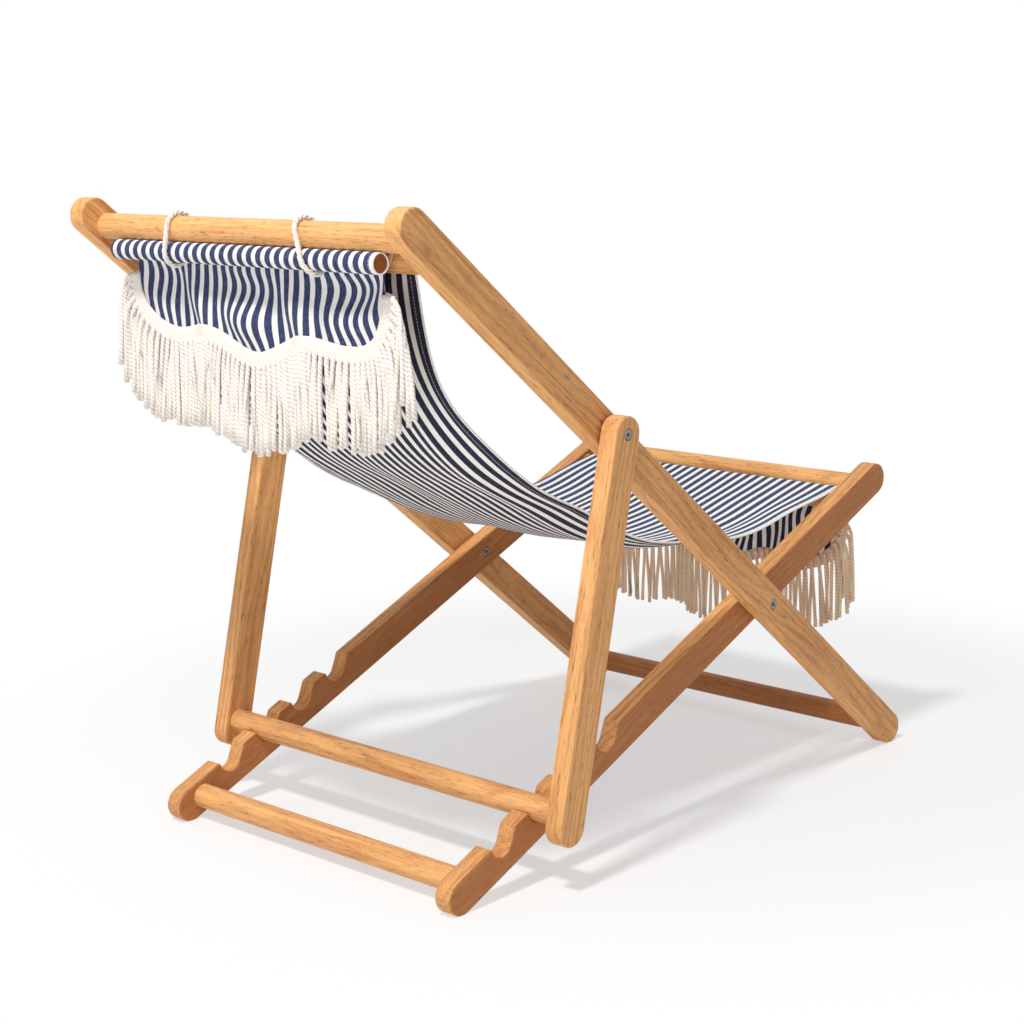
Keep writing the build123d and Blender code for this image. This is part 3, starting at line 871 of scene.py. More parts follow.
@dataclass
class Sling:
    """The striped cloth, hung over the slot bars and sewn into a sleeve round each dowel.

    Attributes:
        seat_corner: Where the seat's two straight runs would meet, from the cross pivot.
        back_corner: Where the back's two straight runs would meet, from the top slot bar.
        seat_belly: How much lower the cloth's middle hangs in the seat.
        back_belly: How far its middle hangs out in the back.
        belly_power: How flat the bellies are in the middle, 2 for a plain curve.
        sleeve_sweep: How far the sleeve goes round the dowel.
        sleeve_over: How far each sleeve reaches past the long edges.
        waist: How far each long edge is drawn in where the cloth hangs free.
        skew: How far the cloth has slipped along X at the back, and the other way at the front.
        spread: How much wider the cloth is drawn out at the front, as a share.
        edge_wave: The edges' wave: its pace along and across, and how soon it dies away from them.
        all_wave: The whole cloth's wave: its pace along and across, and its share of the edges'.
        wrinkles: Each lengthwise wrinkle's place across the cloth, its width and its height.
        wrinkle_run: How fast wrinkles turn over along the cloth, and where they are highest.
        hem: How much of each long edge is turned under.
        hem_fold_share: The fold's share of the hem's cells.
        rows: Cells along each stretch, from the back's sleeve to the front's.
        free_span: The first stretch that hangs free, and the first after it that doesn't.
        free_ease: Over how many stretches the cloth comes free.
        blend_start: Where the cloth would start to leave the seat frame, from the cross pivot. Not
            used.
        blend_end: Where it would be all with the back frame. Not used.
    """

    width: float = 0.430
    thickness: float = 0.0012
    gap: float = 0.0003
    seat_corner: Pair = (0.109, 0.052)
    back_corner: Pair = (-0.042, -0.1745)
    seat_radius: float = 0.600
    back_radius: float = 0.300
    seat_belly: float = 0.026
    back_belly: float = 0.016
    belly_power: float = 2.8
    sleeve_sweep: float = math.radians(338)
    sleeve_over: float = 0.0022
    waist: float = 0.006
    skew: float = 0.0035
    spread: float = 0.012
    ripple: float = 0.0028
    edge_wave: Triple = (62, 2, 6)
    all_wave: Triple = (47, 9, 0.3)
    wrinkles: tuple[Triple, ...] = (
        (-0.158, 0.017, 0.0045),
        (0.120, 0.022, 0.0035),
        (0.020, 0.030, -0.0030),
    )
    wrinkle_run: Pair = (2.5, 0.45)
    hem: float = 0.0088
    hem_fold: float = 0.0007
    hem_fold_share: float = 0.25
    hem_columns: int = 8
    columns: int = 72
    rows: tuple[int, ...] = (30, 6, 12, 12, 26, 14, 36, 12, 12, 6, 30)
    free_span: tuple[int, int] = (3, 8)
    free_ease: float = 1.5
    blend_start: Pair = (-0.06, 0.06)
    blend_end: Pair = (0.42, 0.24)
    stations: dict[float, list[Stretch]] = field(default_factory=dict, init=False)

    def corner_turn(self, before: Vector, corner: Vector, after: Vector, radius: float) -> Turn:
        """Round a corner.

        Args:
            before: A point on the run that comes in.
            corner: Where the runs would meet.
            after: A point on the run that goes out.
            radius: The arc's radius.

        Returns:
            The arc, from the first run to the second.
        """
        back = (before - corner).normalized()
        ahead = (after - corner).normalized()
        half = back.angle(ahead) / 2
        centre = corner + (back + ahead).normalized() * (radius / math.sin(half))
        setback = radius / math.tan(half)
        first, last = (bearing(corner + way * setback - centre) for way in (back, ahead))
        return Turn(centre, radius, first, (last - first + math.pi) % math.tau - math.pi)

    def end_stretches(self, end: End, corner: Vector) -> list[Stretch]:
        """Lay the sleeve, the web to the slot bar and the wrap over it.

        Args:
            end: Which end of the cloth.
            corner: The corner that the cloth runs to from the slot bar.

        Returns:
            The stretches, from the sleeve's sewn edge to where the cloth leaves the bar.
        """
        slot, dowel = Round.from_node(end.node("slot_bar")), Round.from_node(end.dowel)
        off = self.gap + self.thickness / 2
        wrap, sleeve = slot.radius + off, dowel.radius + off
        across = dowel.centre - slot.centre
        normal = bearing(across) + end.value * math.acos((wrap + sleeve) / across.length)
        leave = slot.centre + heading(normal) * wrap
        meet = dowel.centre - heading(normal) * sleeve
        away = corner - slot.centre
        touch = bearing(away) - end.value * math.acos(wrap / away.length)
        sweep = end.value * self.sleeve_sweep
        return [
            Turn(dowel.centre, sleeve, normal + math.pi + sweep, -sweep),
            Straight(meet, leave),
            Turn(slot.centre, wrap, normal, signed_sweep(normal, touch, end.value)),
        ]

    def stretches(self, across: float) -> list[Stretch]:
        """Lay the cloth's side view at a place across it.

        Args:
            across: The place, from -1 to 1.

        Returns:
            Its stretches, from the back's sleeve to the front's.
        """
        fall = 1 - abs(across) ** self.belly_power
        pivot = Round.from_node("cross_bolt_left").centre
        top = Round.from_node("top_slot_bar").centre
        seat = pivot + Vector(self.seat_corner) - Vector((0, self.seat_belly * fall))
        back = top + Vector(self.back_corner) + Vector((self.back_belly, -self.back_belly)) * fall
        first = self.end_stretches(End.BACK, back)
        last = self.end_stretches(End.FRONT, seat)
        back_turn = self.corner_turn(first[-1].at(1), back, seat, self.back_radius)
        seat_turn = self.corner_turn(back, seat, last[-1].at(1), self.seat_radius)
        middle = [
            Straight(first[-1].at(1), back_turn.at(0)),
            back_turn,
            Straight(back_turn.at(1), seat_turn.at(0)),
            seat_turn,
            Straight(seat_turn.at(1), last[-1].at(1)),
        ]
        return first + middle + [stretch.reverse() for stretch in reversed(last)]

    def locate(self, along: float) -> tuple[int, float]:
        """The stretch, and the share of it, at a share of all rows."""
        return span_at(self.rows, along * sum(self.rows))

    def waves(self, x: float, along: float) -> float:
        """Find how far waves and wrinkles push the cloth off its side view.

        Args:
            x: The place across the flat cloth, from the middle.
            along: Its share of all rows.

        Returns:
            The distance.
        """
        side = 2 * x / self.width
        run, skewed, power = self.edge_wave
        wave = math.sin(run * along + skewed * side) * abs(side) ** power
        run, skewed, share = self.all_wave
        wave += share * math.sin(run * along + skewed * side)
        pace, highest = self.wrinkle_run
        ridge = sum(height * bell((x - place) / width) for place, width, height in self.wrinkles)
        return self.ripple * wave + ridge * math.cos(pace * (along - highest))

    def lie(self, x: float, along: float, under: float = 0.0) -> Vector:
        """Find where a point of the hung cloth lies.

        Args:
            x: Its place across the flat cloth, from the middle.
            along: Its share of all rows.
            under: How far it lies under the cloth.

        Returns:
            Its point.
        """
        side = 2 * x / self.width
        key = round(side, 6)
        if key not in self.stations:
            self.stations[key] = self.stretches(side)
        index, share = self.locate(along)
        stretch = self.stations[key][index]
        ahead = way_at(stretch, share)
        down = Vector((-ahead.y, ahead.x))
        spot, last = index + share, len(self.rows) - 1
        start, stop = self.free_span
        free = smooth_step((spot - start) / self.free_ease)
        free *= smooth_step((stop - spot) / self.free_ease)
        point = stretch.at(share) + down * (under + free * self.waves(x, along))
        off_sleeves = smooth_step(spot - 1) * smooth_step(last - spot)
        to_front = clamp((spot - 2) / (last - 3))
        slip = self.skew * math.cos(math.pi * to_front) * off_sleeves
        drawn = x * self.spread * smooth_step(to_front) * off_sleeves
        over = self.sleeve_over * side * (1 - off_sleeves)
        return Vector((x - self.waist * free * side + slip + drawn + over, point.x, point.y))

    def distance(self, along: float, lengths: Sequence[float]) -> float:
        """How far along the cloth a share of all rows lies, by the length of each stretch."""
        index, share = self.locate(along)
        return sum(lengths[:index]) + lengths[index] * share

    def add_hem(self, mesh: Mesh, side: int, lengths: Sequence[float]) -> None:
        """Turn one long edge under, between the two slot bars.

        Args:
            mesh: The cloth.
            side: 1 for the left edge and -1 for the right.
            lengths: How long each stretch is.
        """
        start, stop = self.free_span
        first, last = (sum(self.rows[:stretch]) / sum(self.rows) for stretch in self.free_span)
        fold = self.hem_fold_share

        def depth(across: float) -> float:
            """How far in from the fold a share of the hem's cells lies."""
            return max(across - fold, 0.0) / (1 - fold) * self.hem

        def place(across: float, along: float) -> Vector:
            """Find a point of the hem.

            Args:
                across: Its share of the cells from the fold inwards.
                along: Its share of the hem's rows.

            Returns:
                The point.
            """
            angle = math.pi * min(across / fold, 1.0)
            under = self.hem_fold * (1 - math.cos(angle))
            x = side * (self.width / 2 - depth(across))
            point = self.lie(x, first + (last - first) * along, under)
            return point + Vector((side * self.hem_fold * math.sin(angle), 0, 0))

        def flat(across: float, along: float) -> Pair:
            """The hem's point as it lay flat."""
            row = first + (last - first) * along
            return side * (self.width / 2 + depth(across)), self.distance(row, lengths)

        add_sheet(mesh, (self.hem_columns, sum(self.rows[start:stop])), place, flat)

    def build(self) -> None:
        """Make the cloth and hang it on the frame."""
        lengths = [stretch.length for stretch in self.stretches(0.0)]
        total = sum(lengths)
        sleeves = (0, len(self.rows) - 1)
        mesh = bmesh.new()
        add_sheet(
            mesh,
            (self.columns, sum(self.rows)),
            lambda across, along: self.lie((across - 0.5) * self.width, along),
            lambda across, along: ((across - 0.5) * self.width, self.distance(along, lengths)),
            lambda along: int(self.locate(along)[0] in sleeves),
        )
        for side in (1, -1):
            self.add_hem(mesh, side, lengths)
        # The reverse finish, with its painted shade, goes on the side of the cloth that lies in
        # shade.
        face, reverse = StripedCanvas.pair("striped_canvas")
        piece = finished("sling_cloth", mesh, (reverse, face, reverse), self.thickness)
        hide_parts("sling")
        pivot = Round.from_node("cross_bolt_left").centre
        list(pivot + Vector(self.blend_start))
        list(pivot + Vector(self.blend_end))
        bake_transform(piece)
        LOG.info("hung %s, %.3f m long", piece.name, total)


@dataclass
class TieRopes:
    """The rope loops that tie a roll of cloth to its end bar.

    Attributes:
        pitch: How far a strand runs in one turn.
        swell: How much thicker a strand is than one that just touches the others.
        yarn_pitch: How far a strand's yarns run in one turn.
        sleeve: How thick the cloth is round the dowel.
        leans: How far each side's loop has slipped along X at the bar's top and the roll's bottom.
    """

    end: End
    diameter: float = 0.0064
    pitch: float = 0.019
    strands: int = 3
    swell: float = 1.03
    strand_sides: int = 6
    turn_steps: int = 9
    yarn_pitch: float = 0.005
    # Painted shade: the colour in the grooves of the rope's twist.
    groove_shade: Colour = srgb(222, 200, 174)
    sleeve: float = 0.0015
    gap: float = 0.0003
    leans: dict[str, Pair] = field(
        default_factory=lambda: {"left": (-0.005, -0.008), "right": (-0.001, -0.020)}
    )

    def belt(self) -> list[Stretch]:
        """Lay the loop's line round the bar and the roll.

        Returns:
            Its stretches.
        """
        bar, roll = Round.from_node(self.end.node("bar")), Round.from_node(self.end.dowel)
        off = self.gap + self.diameter / 2
        big, small = bar.radius + off, roll.radius + self.sleeve + off
        run = roll.centre - bar.centre
        spread = math.acos((big - small) / run.length)
        first, second = bearing(run) + spread, bearing(run) - spread
        return [
            Straight(bar.centre + heading(first) * big, roll.centre + heading(first) * small),
            Turn(roll.centre, small, first, -2 * spread),
            Straight(roll.centre + heading(second) * small, bar.centre + heading(second) * big),
            Turn(bar.centre, big, second, -(math.tau - 2 * spread)),
        ]

    def build(self, side: str) -> None:
        """Lay one loop.

        Args:
            side: left or right.
        """
        node = self.end.node(f"rope_{side}")
        low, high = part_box(node)
        belt = self.belt()
        lengths = [stretch.length for stretch in belt]
        total = sum(lengths)
        turns = round(total / self.pitch)
        steps = turns * self.turn_steps
        heights = [stretch.at(share).y for stretch in belt for share in (0, 1)]
        top, bottom = max(heights), min(heights)
        laid = self.diameter / 2 / (1 + 1 / math.sin(math.pi / self.strands))
        orbit = self.diameter / 2 - laid
        top_slip, bottom_slip = self.leans[side]

        def strand_at(strand: int, share: float) -> Vector:
            """Find a point on a strand's middle.

            Args:
                strand: The strand's number.
                share: The share of the loop.

            Returns:
                The point.
            """
            index, part = span_at(lengths, total * share % total)
            point, ahead = belt[index].at(part), way_at(belt[index], part)
            slip = top_slip + (bottom_slip - top_slip) * (top - point.y) / (top - bottom)
            middle = Vector(((low[0] + high[0]) / 2 + slip * self.end.value, point.x, point.y))
            angle = math.tau * (strand / self.strands + turns * share)
            out = Vector((0, ahead.y, -ahead.x))
            return middle + (out * math.cos(angle) + Vector((1, 0, 0)) * math.sin(angle)) * orbit

        mesh = bmesh.new()
        for strand in range(self.strands):
            path = [strand_at(strand, step / steps) for step in range(steps + 1)]
            add_tube(mesh, path, [laid * self.swell] * len(path), self.strand_sides)
        weld(mesh)
        yarns = TwistedCotton(f"cotton_{node}", self.strands, self.yarn_pitch, groove_shade=self.groove_shade)
        piece = finished(f"{node}_laid", mesh, (yarns.build(),))
        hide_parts(node)
        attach(piece, self.end.body)
        LOG.info("laid %s, %.3f m round", piece.name, total)


@dataclass(frozen=True)
class Crease:
    """A sharp fold that deepens towards the hem, where one side runs in under the other.

    Attributes:
        seam_x: Where it starts at the seam, from the cloth's middle.
        hem_x: Where it ends at the hem.
        width: How wide each of its sides is.
        depth: How far these swing apart at the hem.
        full_at: The share of the way down at which it is full.
    """

    seam_x: float
    hem_x: float
    width: float
    depth: float
    full_at: float = 0.8

    def swing(self, x: float, share: float) -> float:
        """How far the cloth swings outwards at a place across it and a share of the way down."""
        side = (x - self.seam_x - (self.hem_x - self.seam_x) * share) / self.width
        return -self.depth * side * math.exp((1 - side**2) / 2) * smooth_step(share / self.full_at)


@dataclass(frozen=True)
class Billow:
    """A soft wave of the cloth, which drifts askew and comes back on its way down.

    Attributes:
        x: Where it lies, from the cloth's middle.
        width: How wide it is.
        drift: How far the cloth hangs askew there.
        wave: How far it waves about that.
        wave_at: The share of the way down at which the wave is highest.
        wave_run: The share of the way down that the wave takes.
        full_at: The share of the way down at which the cloth is as far askew as it gets.
    """

    x: float
    width: float
    drift: float
    wave: float
    wave_at: float = 0.35
    wave_run: float = 0.7
    full_at: float = 0.3

    def shift(self, x: float, share: float) -> float:
        """How far the cloth is askew at a place across it and a share of the way down."""
        swell = self.drift + self.wave * math.cos(math.tau * (share - self.wave_at) / self.wave_run)
        return bell((x - self.x) / self.width) * swell * smooth_step(share / self.full_at)


@dataclass(frozen=True)
class CordFringe:
    """A fringe's tape and cords, and how the cords hang. Every other cord is an inner one.

    Attributes:
        tuck: How far an outer cord reaches up behind the tape's edge.
        inner_start: How far below the hem an inner cord starts.
        inner_lift: How far outside the cloth it starts.
        inner_lean: How far it leans outwards, as a slope.
        outer_lean: How far outer cords lean outwards, least and most.
        hang_share: How much of that lean is left where the cord hangs.
        sways: How the cords lean along X in groups: slope, pace and start.
        bend: In what length a cord bends down.
        curl: How far a cord curls to one side, as a slope.
        end_flare: How much thicker a cord is at its end.
        tip: How far the end is rounded.
        map_jitter: How far the twists of cords are out of step.
        ring_power: How much closer a cord's rings lie near the tape.
        cotton: The outer cords' colours, on the plies and in the painted shade between them, and
            the tape's.
    """

    tape_height: float = 0.018
    tape_overlap: float = 0.0025
    tape_thickness: float = 0.0022
    tape_gap: float = 0.0003
    tape_crown: float = 0.0005
    tape_rows: int = 6
    diameter: float = 0.0056
    pitch: float = 0.0036
    length: float = 0.098
    side_length: float = 0.020
    length_jitter: float = 0.005
    tuck: float = 0.004
    inner_start: float = 0.001
    inner_lift: float = -0.0015
    inner_lean: float = 0.09
    outer_lean: Pair = (-0.05, 0.06)
    hang_share: float = 0.6
    sways: tuple[Triple, ...] = ((0.025, 0.61, 0.0), (0.02, 0.27, 2.0))
    lean_jitter: float = 0.035
    bend: float = 0.016
    bend_range: Pair = (0.8, 1.25)
    curl: float = 0.09
    girth_range: Pair = (0.93, 1.07)
    end_flare: float = 1.15
    tip: float = 0.0015
    map_jitter: float = 0.02
    sides: int = 6
    rings: int = 8
    ring_power: float = 1.5
    cotton: tuple[Colour, Colour] = (srgb(255, 252, 247), srgb(232, 208, 184))
    # Painted shade: the inner cords, which hang behind the outer ones, take a darker, warmer
    # cotton.
    inner_cotton: tuple[Colour, Colour] = (srgb(255, 247, 238), srgb(232, 206, 180))


# Painted warm shade: the front fringe, which hangs in the seat's shade, takes a tan cotton where
# the back fringe's is white; both are one cotton.
SHADED_FRONT_COTTON = (srgb(255, 230, 203), srgb(244, 192, 152))
FRONT_FRINGE = CordFringe(
    diameter=0.0051,
    pitch=0.0052,
    length=0.085,
    bend=0.007,
    cotton=SHADED_FRONT_COTTON,
    inner_cotton=SHADED_FRONT_COTTON,
)
HemLine = list[tuple[Vector, Vector]]


@dataclass
class FringedValance:
    """A scalloped cloth valance that hangs from the web, with a taped cord fringe along its hem.

    Attributes:
        half_width: Half of the cloth's width as it hangs.
        fullness: How much wider the cloth was cut than it hangs.
        middle_drop: The hem's drop at its middle.
        crest_drop: The hem's drop at its two crests.
        crest_x: How far the crests lie from the middle.
        low_drop: The hem's drop at its two side lobes.
        low_x: How far these lie from the middle.
        corner_drop: Where the rounded sides start below the seam.
        squareness: How square the hem's round sides are, 2 for a plain ellipse.
        hem_lean: How much the hem slopes from side to side.
        edge_ease: How near to its sides the cloth is still straight.
        crowding: How much closer its columns lie towards the sides, 0 to 1.
        askew: How a billow's shift is shared between along X and outwards.
    """

    end: End
    fringe: CordFringe = CordFringe()
    half_width: float = 0.203
    thickness: float = 0.0012
    fullness: float = 1.06
    middle_drop: float = 0.109
    crest_drop: float = 0.0842
    crest_x: float = 0.083
    low_drop: float = 0.0918
    low_x: float = 0.135
    corner_drop: float = 0.031
    squareness: float = 2.3
    hem_lean: float = 0.016
    edge_ease: float = 0.02
    columns: int = 150
    rows: int = 30
    crowding: float = 0.35
    side_steps: int = 26
    inner_steps: int = 64
    creases: tuple[Crease, ...] = (
        Crease(0.136, 0.095, 0.017, 0.0052),
        Crease(-0.027, -0.065, 0.015, 0.0045),
    )
    billows: tuple[Billow, ...] = (
        Billow(0.160, 0.040, 0.0040, 0.0020),
        Billow(0.010, 0.038, -0.0040, 0.0065),
        Billow(-0.150, 0.045, 0.0053, 0.0053),
    )
    askew: Pair = (-0.75, -0.65)
    seed: int = 11
    seam_y: float = field(init=False)
    seam_z: float = field(init=False)
    shades: random.Random = field(init=False)

    def __post_init__(self) -> None:
        """Find the seam on the frame."""
        low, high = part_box(f"{self.name}_valance")
        self.seam_y = (low[1] + high[1]) / 2
        self.seam_z = high[2]
        self.shades = random.Random(self.seed + self.end.value)

    @property
    def name(self) -> str:
        """back or front."""
        return self.end.name.lower()

    def hem_drop(self, x: float) -> float:
        """How far the hem lies below the seam at x."""
        return self.scallop(abs(x)) - self.hem_lean * x * self.end.value

    def scallop(self, reach: float) -> float:
        """Find the hem's drop before it leans.

        Args:
            reach: The distance from the hem's middle.

        Returns:
            The drop below the seam.
        """
        if reach <= self.crest_x:
            mean = (self.middle_drop + self.crest_drop) / 2
            return mean + (self.middle_drop - mean) * math.cos(math.pi * reach / self.crest_x)
        if reach <= self.low_x:
            share = (reach - self.crest_x) / (self.low_x - self.crest_x)
            return self.crest_drop + (self.low_drop - self.crest_drop) * smooth_step(share)
        share = min((reach - self.low_x) / (self.half_width - self.low_x), 1.0)
        rise = (1 - share**self.squareness) ** (1 / self.squareness)
        return self.corner_drop + (self.low_drop - self.corner_drop) * rise

    def hang(self, x: float, share: float) -> Vector:
        """Find where a point of the cloth hangs.

        Args:
            x: Its place across the flat cloth, from the middle.
            share: How far down it lies, 0 at the seam and 1 at the hem.

        Returns:
            Its point.
        """
        flat_x = x * self.end.value
        shift = sum(billow.shift(flat_x, share) for billow in self.billows)
        swing = sum(crease.swing(flat_x, share) for crease in self.creases)
        edge = smooth_step((self.half_width - abs(x)) / self.edge_ease)
        sideways = self.askew[0] * shift * edge * self.end.value
        outwards = (self.askew[1] * shift + swing) * self.end.value
        drop = share * self.hem_drop(x)
        return Vector((x + sideways, self.seam_y + outwards, self.seam_z - drop))

    def hem_line(self) -> HemLine:
        """Follow the hem from side to side.

        Returns:
            Its points and the way out of the cloth at each, in x and drop.
        """
        round_width = self.half_width - self.low_x
        angles = [math.pi / 2 * step / self.side_steps for step in range(self.side_steps)]
        side = [self.half_width - round_width * (1 - math.cos(angle)) for angle in angles]
        steps = range(self.inner_steps + 1)
        inner = [self.low_x * (1 - 2 * step / self.inner_steps) for step in steps]
        spots = side + inner + [-x for x in reversed(side)]
        points = [Vector((x, self.hem_drop(x))) for x in spots]
        aheads = [b - a for a, b in zip([points[0], *points], [*points[1:], points[-1]])]
        ways = [Vector((ahead.y, -ahead.x)).normalized() for ahead in aheads]
        return list(zip(points, ways))

    def at_hem(self, place: float, line: HemLine) -> tuple[Vector, Vector]:
        """Find a hem point between those of its line.

        Args:
            place: Its place, counted in the line's points.
            line: The hem's points and ways out.

        Returns:
            The point and the way out there.
        """
        index = min(int(place), len(line) - 2)
        (first, way), (second, next_way) = line[index : index + 2]
        share = place - index
        return first.lerp(second, share), way.lerp(next_way, share).normalized()

    def off_cloth(self, flat: Vector, lift: float) -> Vector:
        """Find a point beside the cloth.

        Args:
            flat: Its x and its drop below the seam, which may lie past the hem.
            lift: How far outside the cloth it lies.

        Returns:
            Its point.
        """
        x = min(max(flat.x, -self.half_width), self.half_width)
        on_cloth = self.hang(x, min(flat.y / self.hem_drop(x), 1.0))
        y = on_cloth.y + self.end.value * lift
        return Vector((flat.x + on_cloth.x - x, y, self.seam_z - flat.y))

    def build(self) -> None:
        """Make the valance, its tape and its cords."""
        cloth = self.build_cloth()
        line = self.hem_line()
        tape = self.build_tape(line)
        cords = self.build_cords(line)
        self.end.dowel
        slots = ((cloth, "striped_cloth"), (tape, "cotton_fringe"), (cords, "cotton_fringe"))
        for piece, slot in slots:
            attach(piece, self.end.body)
            LOG.info("hung %s", piece.name)
        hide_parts(f"{self.name}_valance")
        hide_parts(f"{self.name}_fringe")

    def build_cloth(self) -> Piece:
        """Make the scalloped cloth.

        Returns:
            The cloth.
        """
        def x_at(across: float) -> float:
            """A place across the cloth, closer to the next towards its round sides."""
            side = 2 * across - 1
            return self.half_width * (side + self.crowding * (math.sin(math.pi / 2 * side) - side))

        mesh = bmesh.new()
        add_sheet(
            mesh,
            (self.columns, self.rows),
            lambda across, along: self.hang(x_at(across), along),
            lambda across, along: (x_at(across), -along * self.hem_drop(x_at(across))),
        )
        # The valances have no sewn side hem, so the fold lies off the cloth.
        face, reverse = StripedCanvas.pair(f"striped_canvas_{self.name}", fold_at=1.0)
        # The valance's side that lies in shade takes the reverse, with its painted shade.
        faces = (face, reverse) if self.end is End.BACK else (reverse, face)
        return finished(f"{self.name}_valance_cloth", mesh, faces, self.thickness)

    def build_tape(self, line: HemLine) -> Piece:
        """Make the tape along the hem.

        Args:
            line: The hem's points and ways out.

        Returns:
            The tape.
        """
        fringe, last = self.fringe, len(line) - 1
        lift = self.thickness / 2 + fringe.tape_thickness / 2 + fringe.tape_gap
        reach = distances([point for point, _ in line])

        def place(across: float, along: float) -> Vector:
            """Find a point of the tape.

            Args:
                across: Its share of the hem's points.
                along: Its share of the tape's height.

            Returns:
                The point.
            """
            point, way = self.at_hem(across * last, line)
            crown = fringe.tape_crown * math.sin(math.pi * along)
            below = along * fringe.tape_height - fringe.tape_overlap
            return self.off_cloth(point + way * below, lift + crown)

        def flat(across: float, along: float) -> Pair:
            """The tape's point as it lay flat."""
            return reach[round(across * last)], along * fringe.tape_height

        mesh = bmesh.new()
        add_sheet(mesh, (last, fringe.tape_rows), place, flat)
        pale, shade = fringe.cotton
        tape = WovenTape(f"woven_tape_{self.name}", pale=pale, shade=shade).build()
        return finished(f"{self.name}_fringe_tape", mesh, (tape,), fringe.tape_thickness)

    def build_cords(self, line: HemLine) -> Piece:
        """Make the cords that hang from the tape.

        Args:
            line: The hem's points and ways out.

        Returns:
            All the cords as one piece.
        """
        steps = [(b - a).length for (a, _), (b, _) in pairwise(line)]
        total = sum(steps)
        count = round(total / self.fringe.pitch)
        mesh = bmesh.new()
        for number in range(count + 1):
            index, share = span_at(steps, total * number / count)
            point, way = self.at_hem(index + share, line)
            self.add_cord(mesh, point, way, number)
        weld(mesh)
        name = f"cotton_{self.name}_fringe"
        # The inner cords' finish carries painted shade.
        colours = {name: self.fringe.cotton, f"{name}_inner": self.fringe.inner_cotton}
        finishes = [
            TwistedCotton(key, pale=pale, groove_shade=groove_shade).build()
            for key, (pale, groove_shade) in colours.items()
        ]
        return finished(f"{self.name}_fringe_cords", mesh, finishes)

    def add_cord(self, mesh: Mesh, point: Vector, way: Vector, number: int) -> None:
        """Add one cord.

        Args:
            mesh: The mesh that it joins.
            point: Where it leaves the hem, in x and drop.
            way: The way out of the cloth there.
            number: Its number from one side.
        """
        fringe, draw = self.fringe, self.shades.uniform
        inner = number % 2 == 0
        below = fringe.tape_height - fringe.tape_overlap - fringe.tuck
        setback = fringe.inner_start if inner else below
        length = fringe.length + fringe.side_length * (1 - max(way.y, 0.0)) + below - setback
        length += draw(-fringe.length_jitter, fringe.length_jitter)
        lift = fringe.inner_lift if inner else self.thickness / 2 + fringe.tape_thickness
        root = self.off_cloth(point + way * setback, lift)
        outwards = self.end.value * (fringe.inner_lean if inner else draw(*fringe.outer_lean))
        start = Vector((way.x, outwards, -way.y)).normalized()
        sway = sum(slope * math.sin(pace * number + at) for slope, pace, at in fringe.sways)
        sway += draw(-fringe.lean_jitter, fringe.lean_jitter)
        lean = Vector((sway, outwards * fringe.hang_share, -1.0)).normalized()
        bend = fringe.bend * draw(*fringe.bend_range)
        curl = draw(-fringe.curl, fringe.curl)
        shares = (ring / fringe.rings for ring in range(fringe.rings + 1))
        marks = [length * share**fringe.ring_power for share in shares]
        path = [root]
        for first, second in pairwise(marks):
            ease = math.exp(-(first + second) / 2 / bend)
            drift = Vector((curl * math.sin(math.pi * second / length), 0, 0))
            ahead = (start * ease + lean * (1 - ease) + drift).normalized()
            path.append(path[-1] + ahead * (second - first))
        radius = fringe.diameter / 2 * draw(*fringe.girth_range)
        radii = [0.0, *[radius] * fringe.rings, radius * fringe.end_flare, 0.0]
        tip = path[-1] + (path[-1] - path[-2]).normalized() * fringe.tip
        map_start = draw(0, fringe.map_jitter)
        add_tube(mesh, [root, *path, tip], radii, fringe.sides, map_start, int(inner))


@dataclass(frozen=True)
class Lamp:
    """A soft round lamp that faces the chair.

    Attributes:
        way_to: The way to it from the chair.
        distance: How far off it hangs.
        aim_height: The height of the point that it faces.
    """

    name: str
    way_to: Triple
    distance: float
    power: float
    size: float
    aim_height: float = 0.4

    def hang(self) -> None:
        """Add the lamp to the scene."""
        lamp = bpy.data.lights.new(self.name, "AREA")
        lamp.shape = "DISK"
        lamp.size = self.size
        lamp.energy = self.power
        light = bpy.data.objects.new(self.name, lamp)
        way = Vector(self.way_to).normalized()
        place = Matrix.Translation(way * self.distance + Vector((0, 0, self.aim_height)))
        light.matrix_world = place @ way.to_track_quat("Z", "Y").to_matrix().to_4x4()
        bpy.context.scene.collection.objects.link(light)


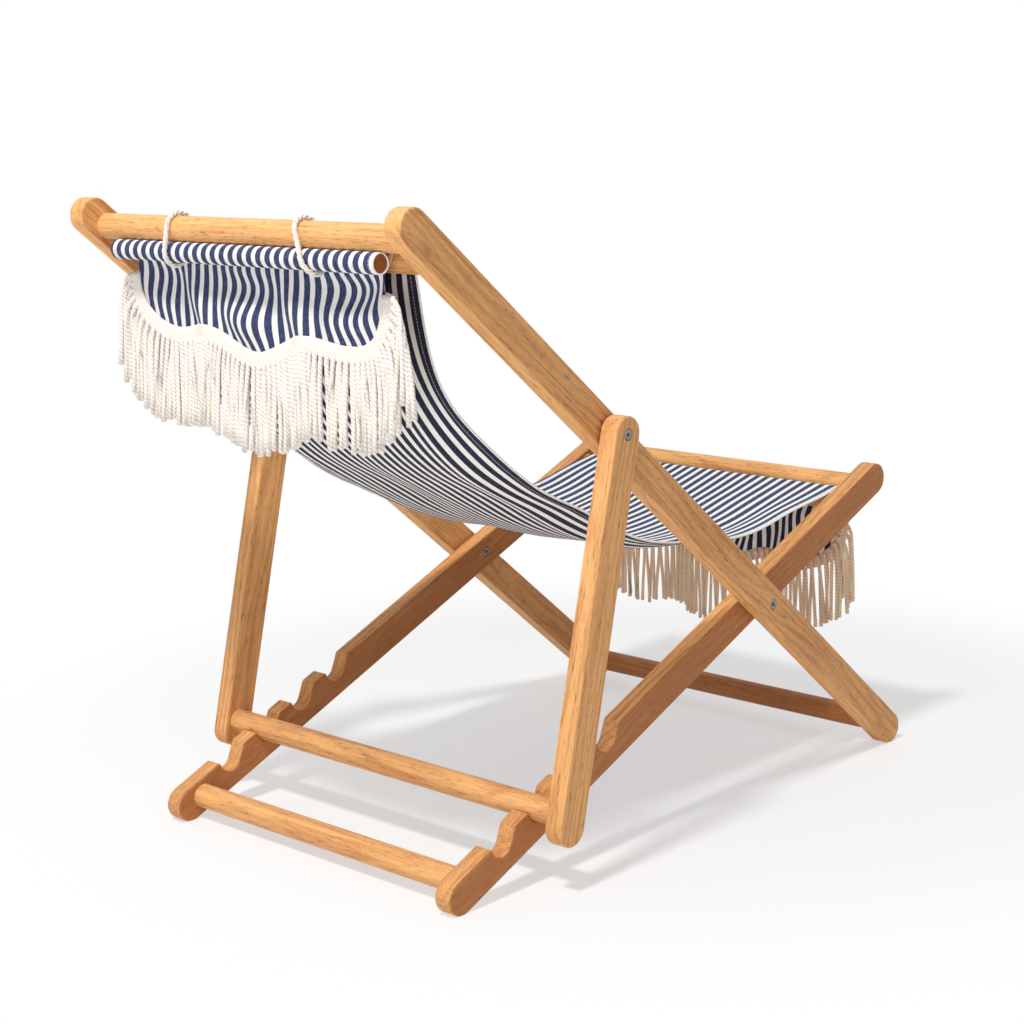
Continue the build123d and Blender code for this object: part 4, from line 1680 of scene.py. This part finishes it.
@dataclass
class Studio:
    """The pale floor, the soft lights and the camera.

    Attributes:
        focal_pixels: The camera's focal length, in pixels of a square picture.
        lamps: The main lamp, which makes the shadows, and a weak wide one near the camera.
        fill_strength: The light that comes from all round.
        backdrop_way: The way to the bright backdrop, which the chair stands before.
        backdrop_strength: The light that comes from its middle.
        floor_middle: The middle of the part that shows shadows.
        floor_fade: From where to where the floor turns white, from that middle.
        floor_white: How white the floor shows at that middle, and how much more far off.
    """

    viewpoint: Triple = (-1.68648, 1.86733, 0.86204)
    look: Triple = (0.66137, -0.72437, -0.19459)
    roll: float = -0.013
    focal_pixels: float = 2002.65
    picture: int = 1024
    lamps: tuple[Lamp, ...] = (
        Lamp("key", (-0.107, 0.506, 0.856), distance=4.0, power=122.0, size=0.5),
        Lamp("side", (-0.38, 0.92, 0.05), distance=3.2, power=18.0, size=1.6),
    )
    fill_strength: float = 0.28
    backdrop_way: Triple = (0.66, -0.72, 0.10)
    backdrop_strength: float = 0.9
    floor_size: float = 30.0
    floor_colour: Colour = (0.89, 0.89, 0.89, 1.0)
    floor_middle: Triple = (0.05, -0.28, 0.0)
    floor_fade: Pair = (0.55, 1.0)
    floor_white: Pair = (0.5, 0.5)

    def build(self) -> None:
        """Set the stage."""
        bpy.context.scene.view_settings.view_transform = "Standard"
        self.build_camera()
        self.build_world()
        self.build_floor()
        for lamp in self.lamps:
            lamp.hang()
        LOG.info("set the stage")

    def build_camera(self) -> None:
        """Place the camera at the photograph's viewpoint."""
        camera = bpy.data.cameras.new("camera")
        camera.sensor_fit = "HORIZONTAL"
        camera.lens = self.focal_pixels / self.picture * camera.sensor_width
        eye = bpy.data.objects.new("camera", camera)
        ahead = Vector(self.look).normalized()
        right = ahead.cross(Vector((0, 0, 1))).normalized()
        up = right.cross(ahead)
        leaned_right = right * math.cos(self.roll) + up * math.sin(self.roll)
        leaned_up = up * math.cos(self.roll) - right * math.sin(self.roll)
        turn = Matrix((leaned_right, leaned_up, -ahead)).transposed()
        eye.matrix_world = Matrix.Translation(self.viewpoint) @ turn.to_4x4()
        bpy.context.scene.collection.objects.link(eye)
        bpy.context.scene.camera = eye

    def build_world(self) -> None:
        """Fill the room with soft light, white where the camera sees it."""
        world = bpy.data.worlds.new("studio")
        graph = Graph(world)
        ways = graph.value("TexCoord", {}, "Generated"), Vector(self.backdrop_way).normalized()
        inputs = dict(enumerate(ways))
        facing = graph.value("VectorMath", inputs, "Value", operation="DOT_PRODUCT")
        strength = graph.fade(facing, 0.0, 1.0, (self.fill_strength, self.backdrop_strength))
        fill = graph.value("Background", {"Color": WHITE, "Strength": strength})
        seen = graph.nodes["Background"]
        graph.feed(seen.inputs["Color"], WHITE)
        graph.feed(seen.inputs["Strength"], 1.0)
        graph.show(graph.seen_rays(), fill, seen.outputs[0])
        bpy.context.scene.world = world

    def build_floor(self) -> None:
        """Lay a pale floor that fades to white away from the chair."""
        mesh = bmesh.new()
        bmesh.ops.create_grid(mesh, x_segments=1, y_segments=1, size=self.floor_size / 2)
        graph = Graph.of_material("pale_floor")
        floor = finished("floor", mesh, (graph.owner,))
        graph.set(Base_Color=self.floor_colour, Roughness=0.9, Specular_IOR_Level=0.0)
        to_middle = tuple(-part for part in self.floor_middle)
        off_middle = graph.length(graph.mapped(graph.object_place(), Location=to_middle))
        near_white, more_white = self.floor_white
        share = graph.total(near_white, (graph.fade(off_middle, *self.floor_fade), more_white))
        seen_share = graph.math("MULTIPLY", share, graph.seen_rays())
        white = graph.value("Emission", {"Color": WHITE})
        graph.show(seen_share, graph.shader.outputs[0], white)


def main() -> None:
    """Dress the chair and set the stage."""
    logging.basicConfig(level=logging.INFO, format="%(name)s: %(message)s")
    Studio().build()
    TimberFrame().dress()
    PivotHardware().dress()
    Sling().build()
    ropes = TieRopes(End.BACK)
    for side in SIDES:
        ropes.build(side)
    FringedValance(End.BACK).build()
    FringedValance(End.FRONT, FRONT_FRINGE).build()


if __name__ == "__main__":
    main()
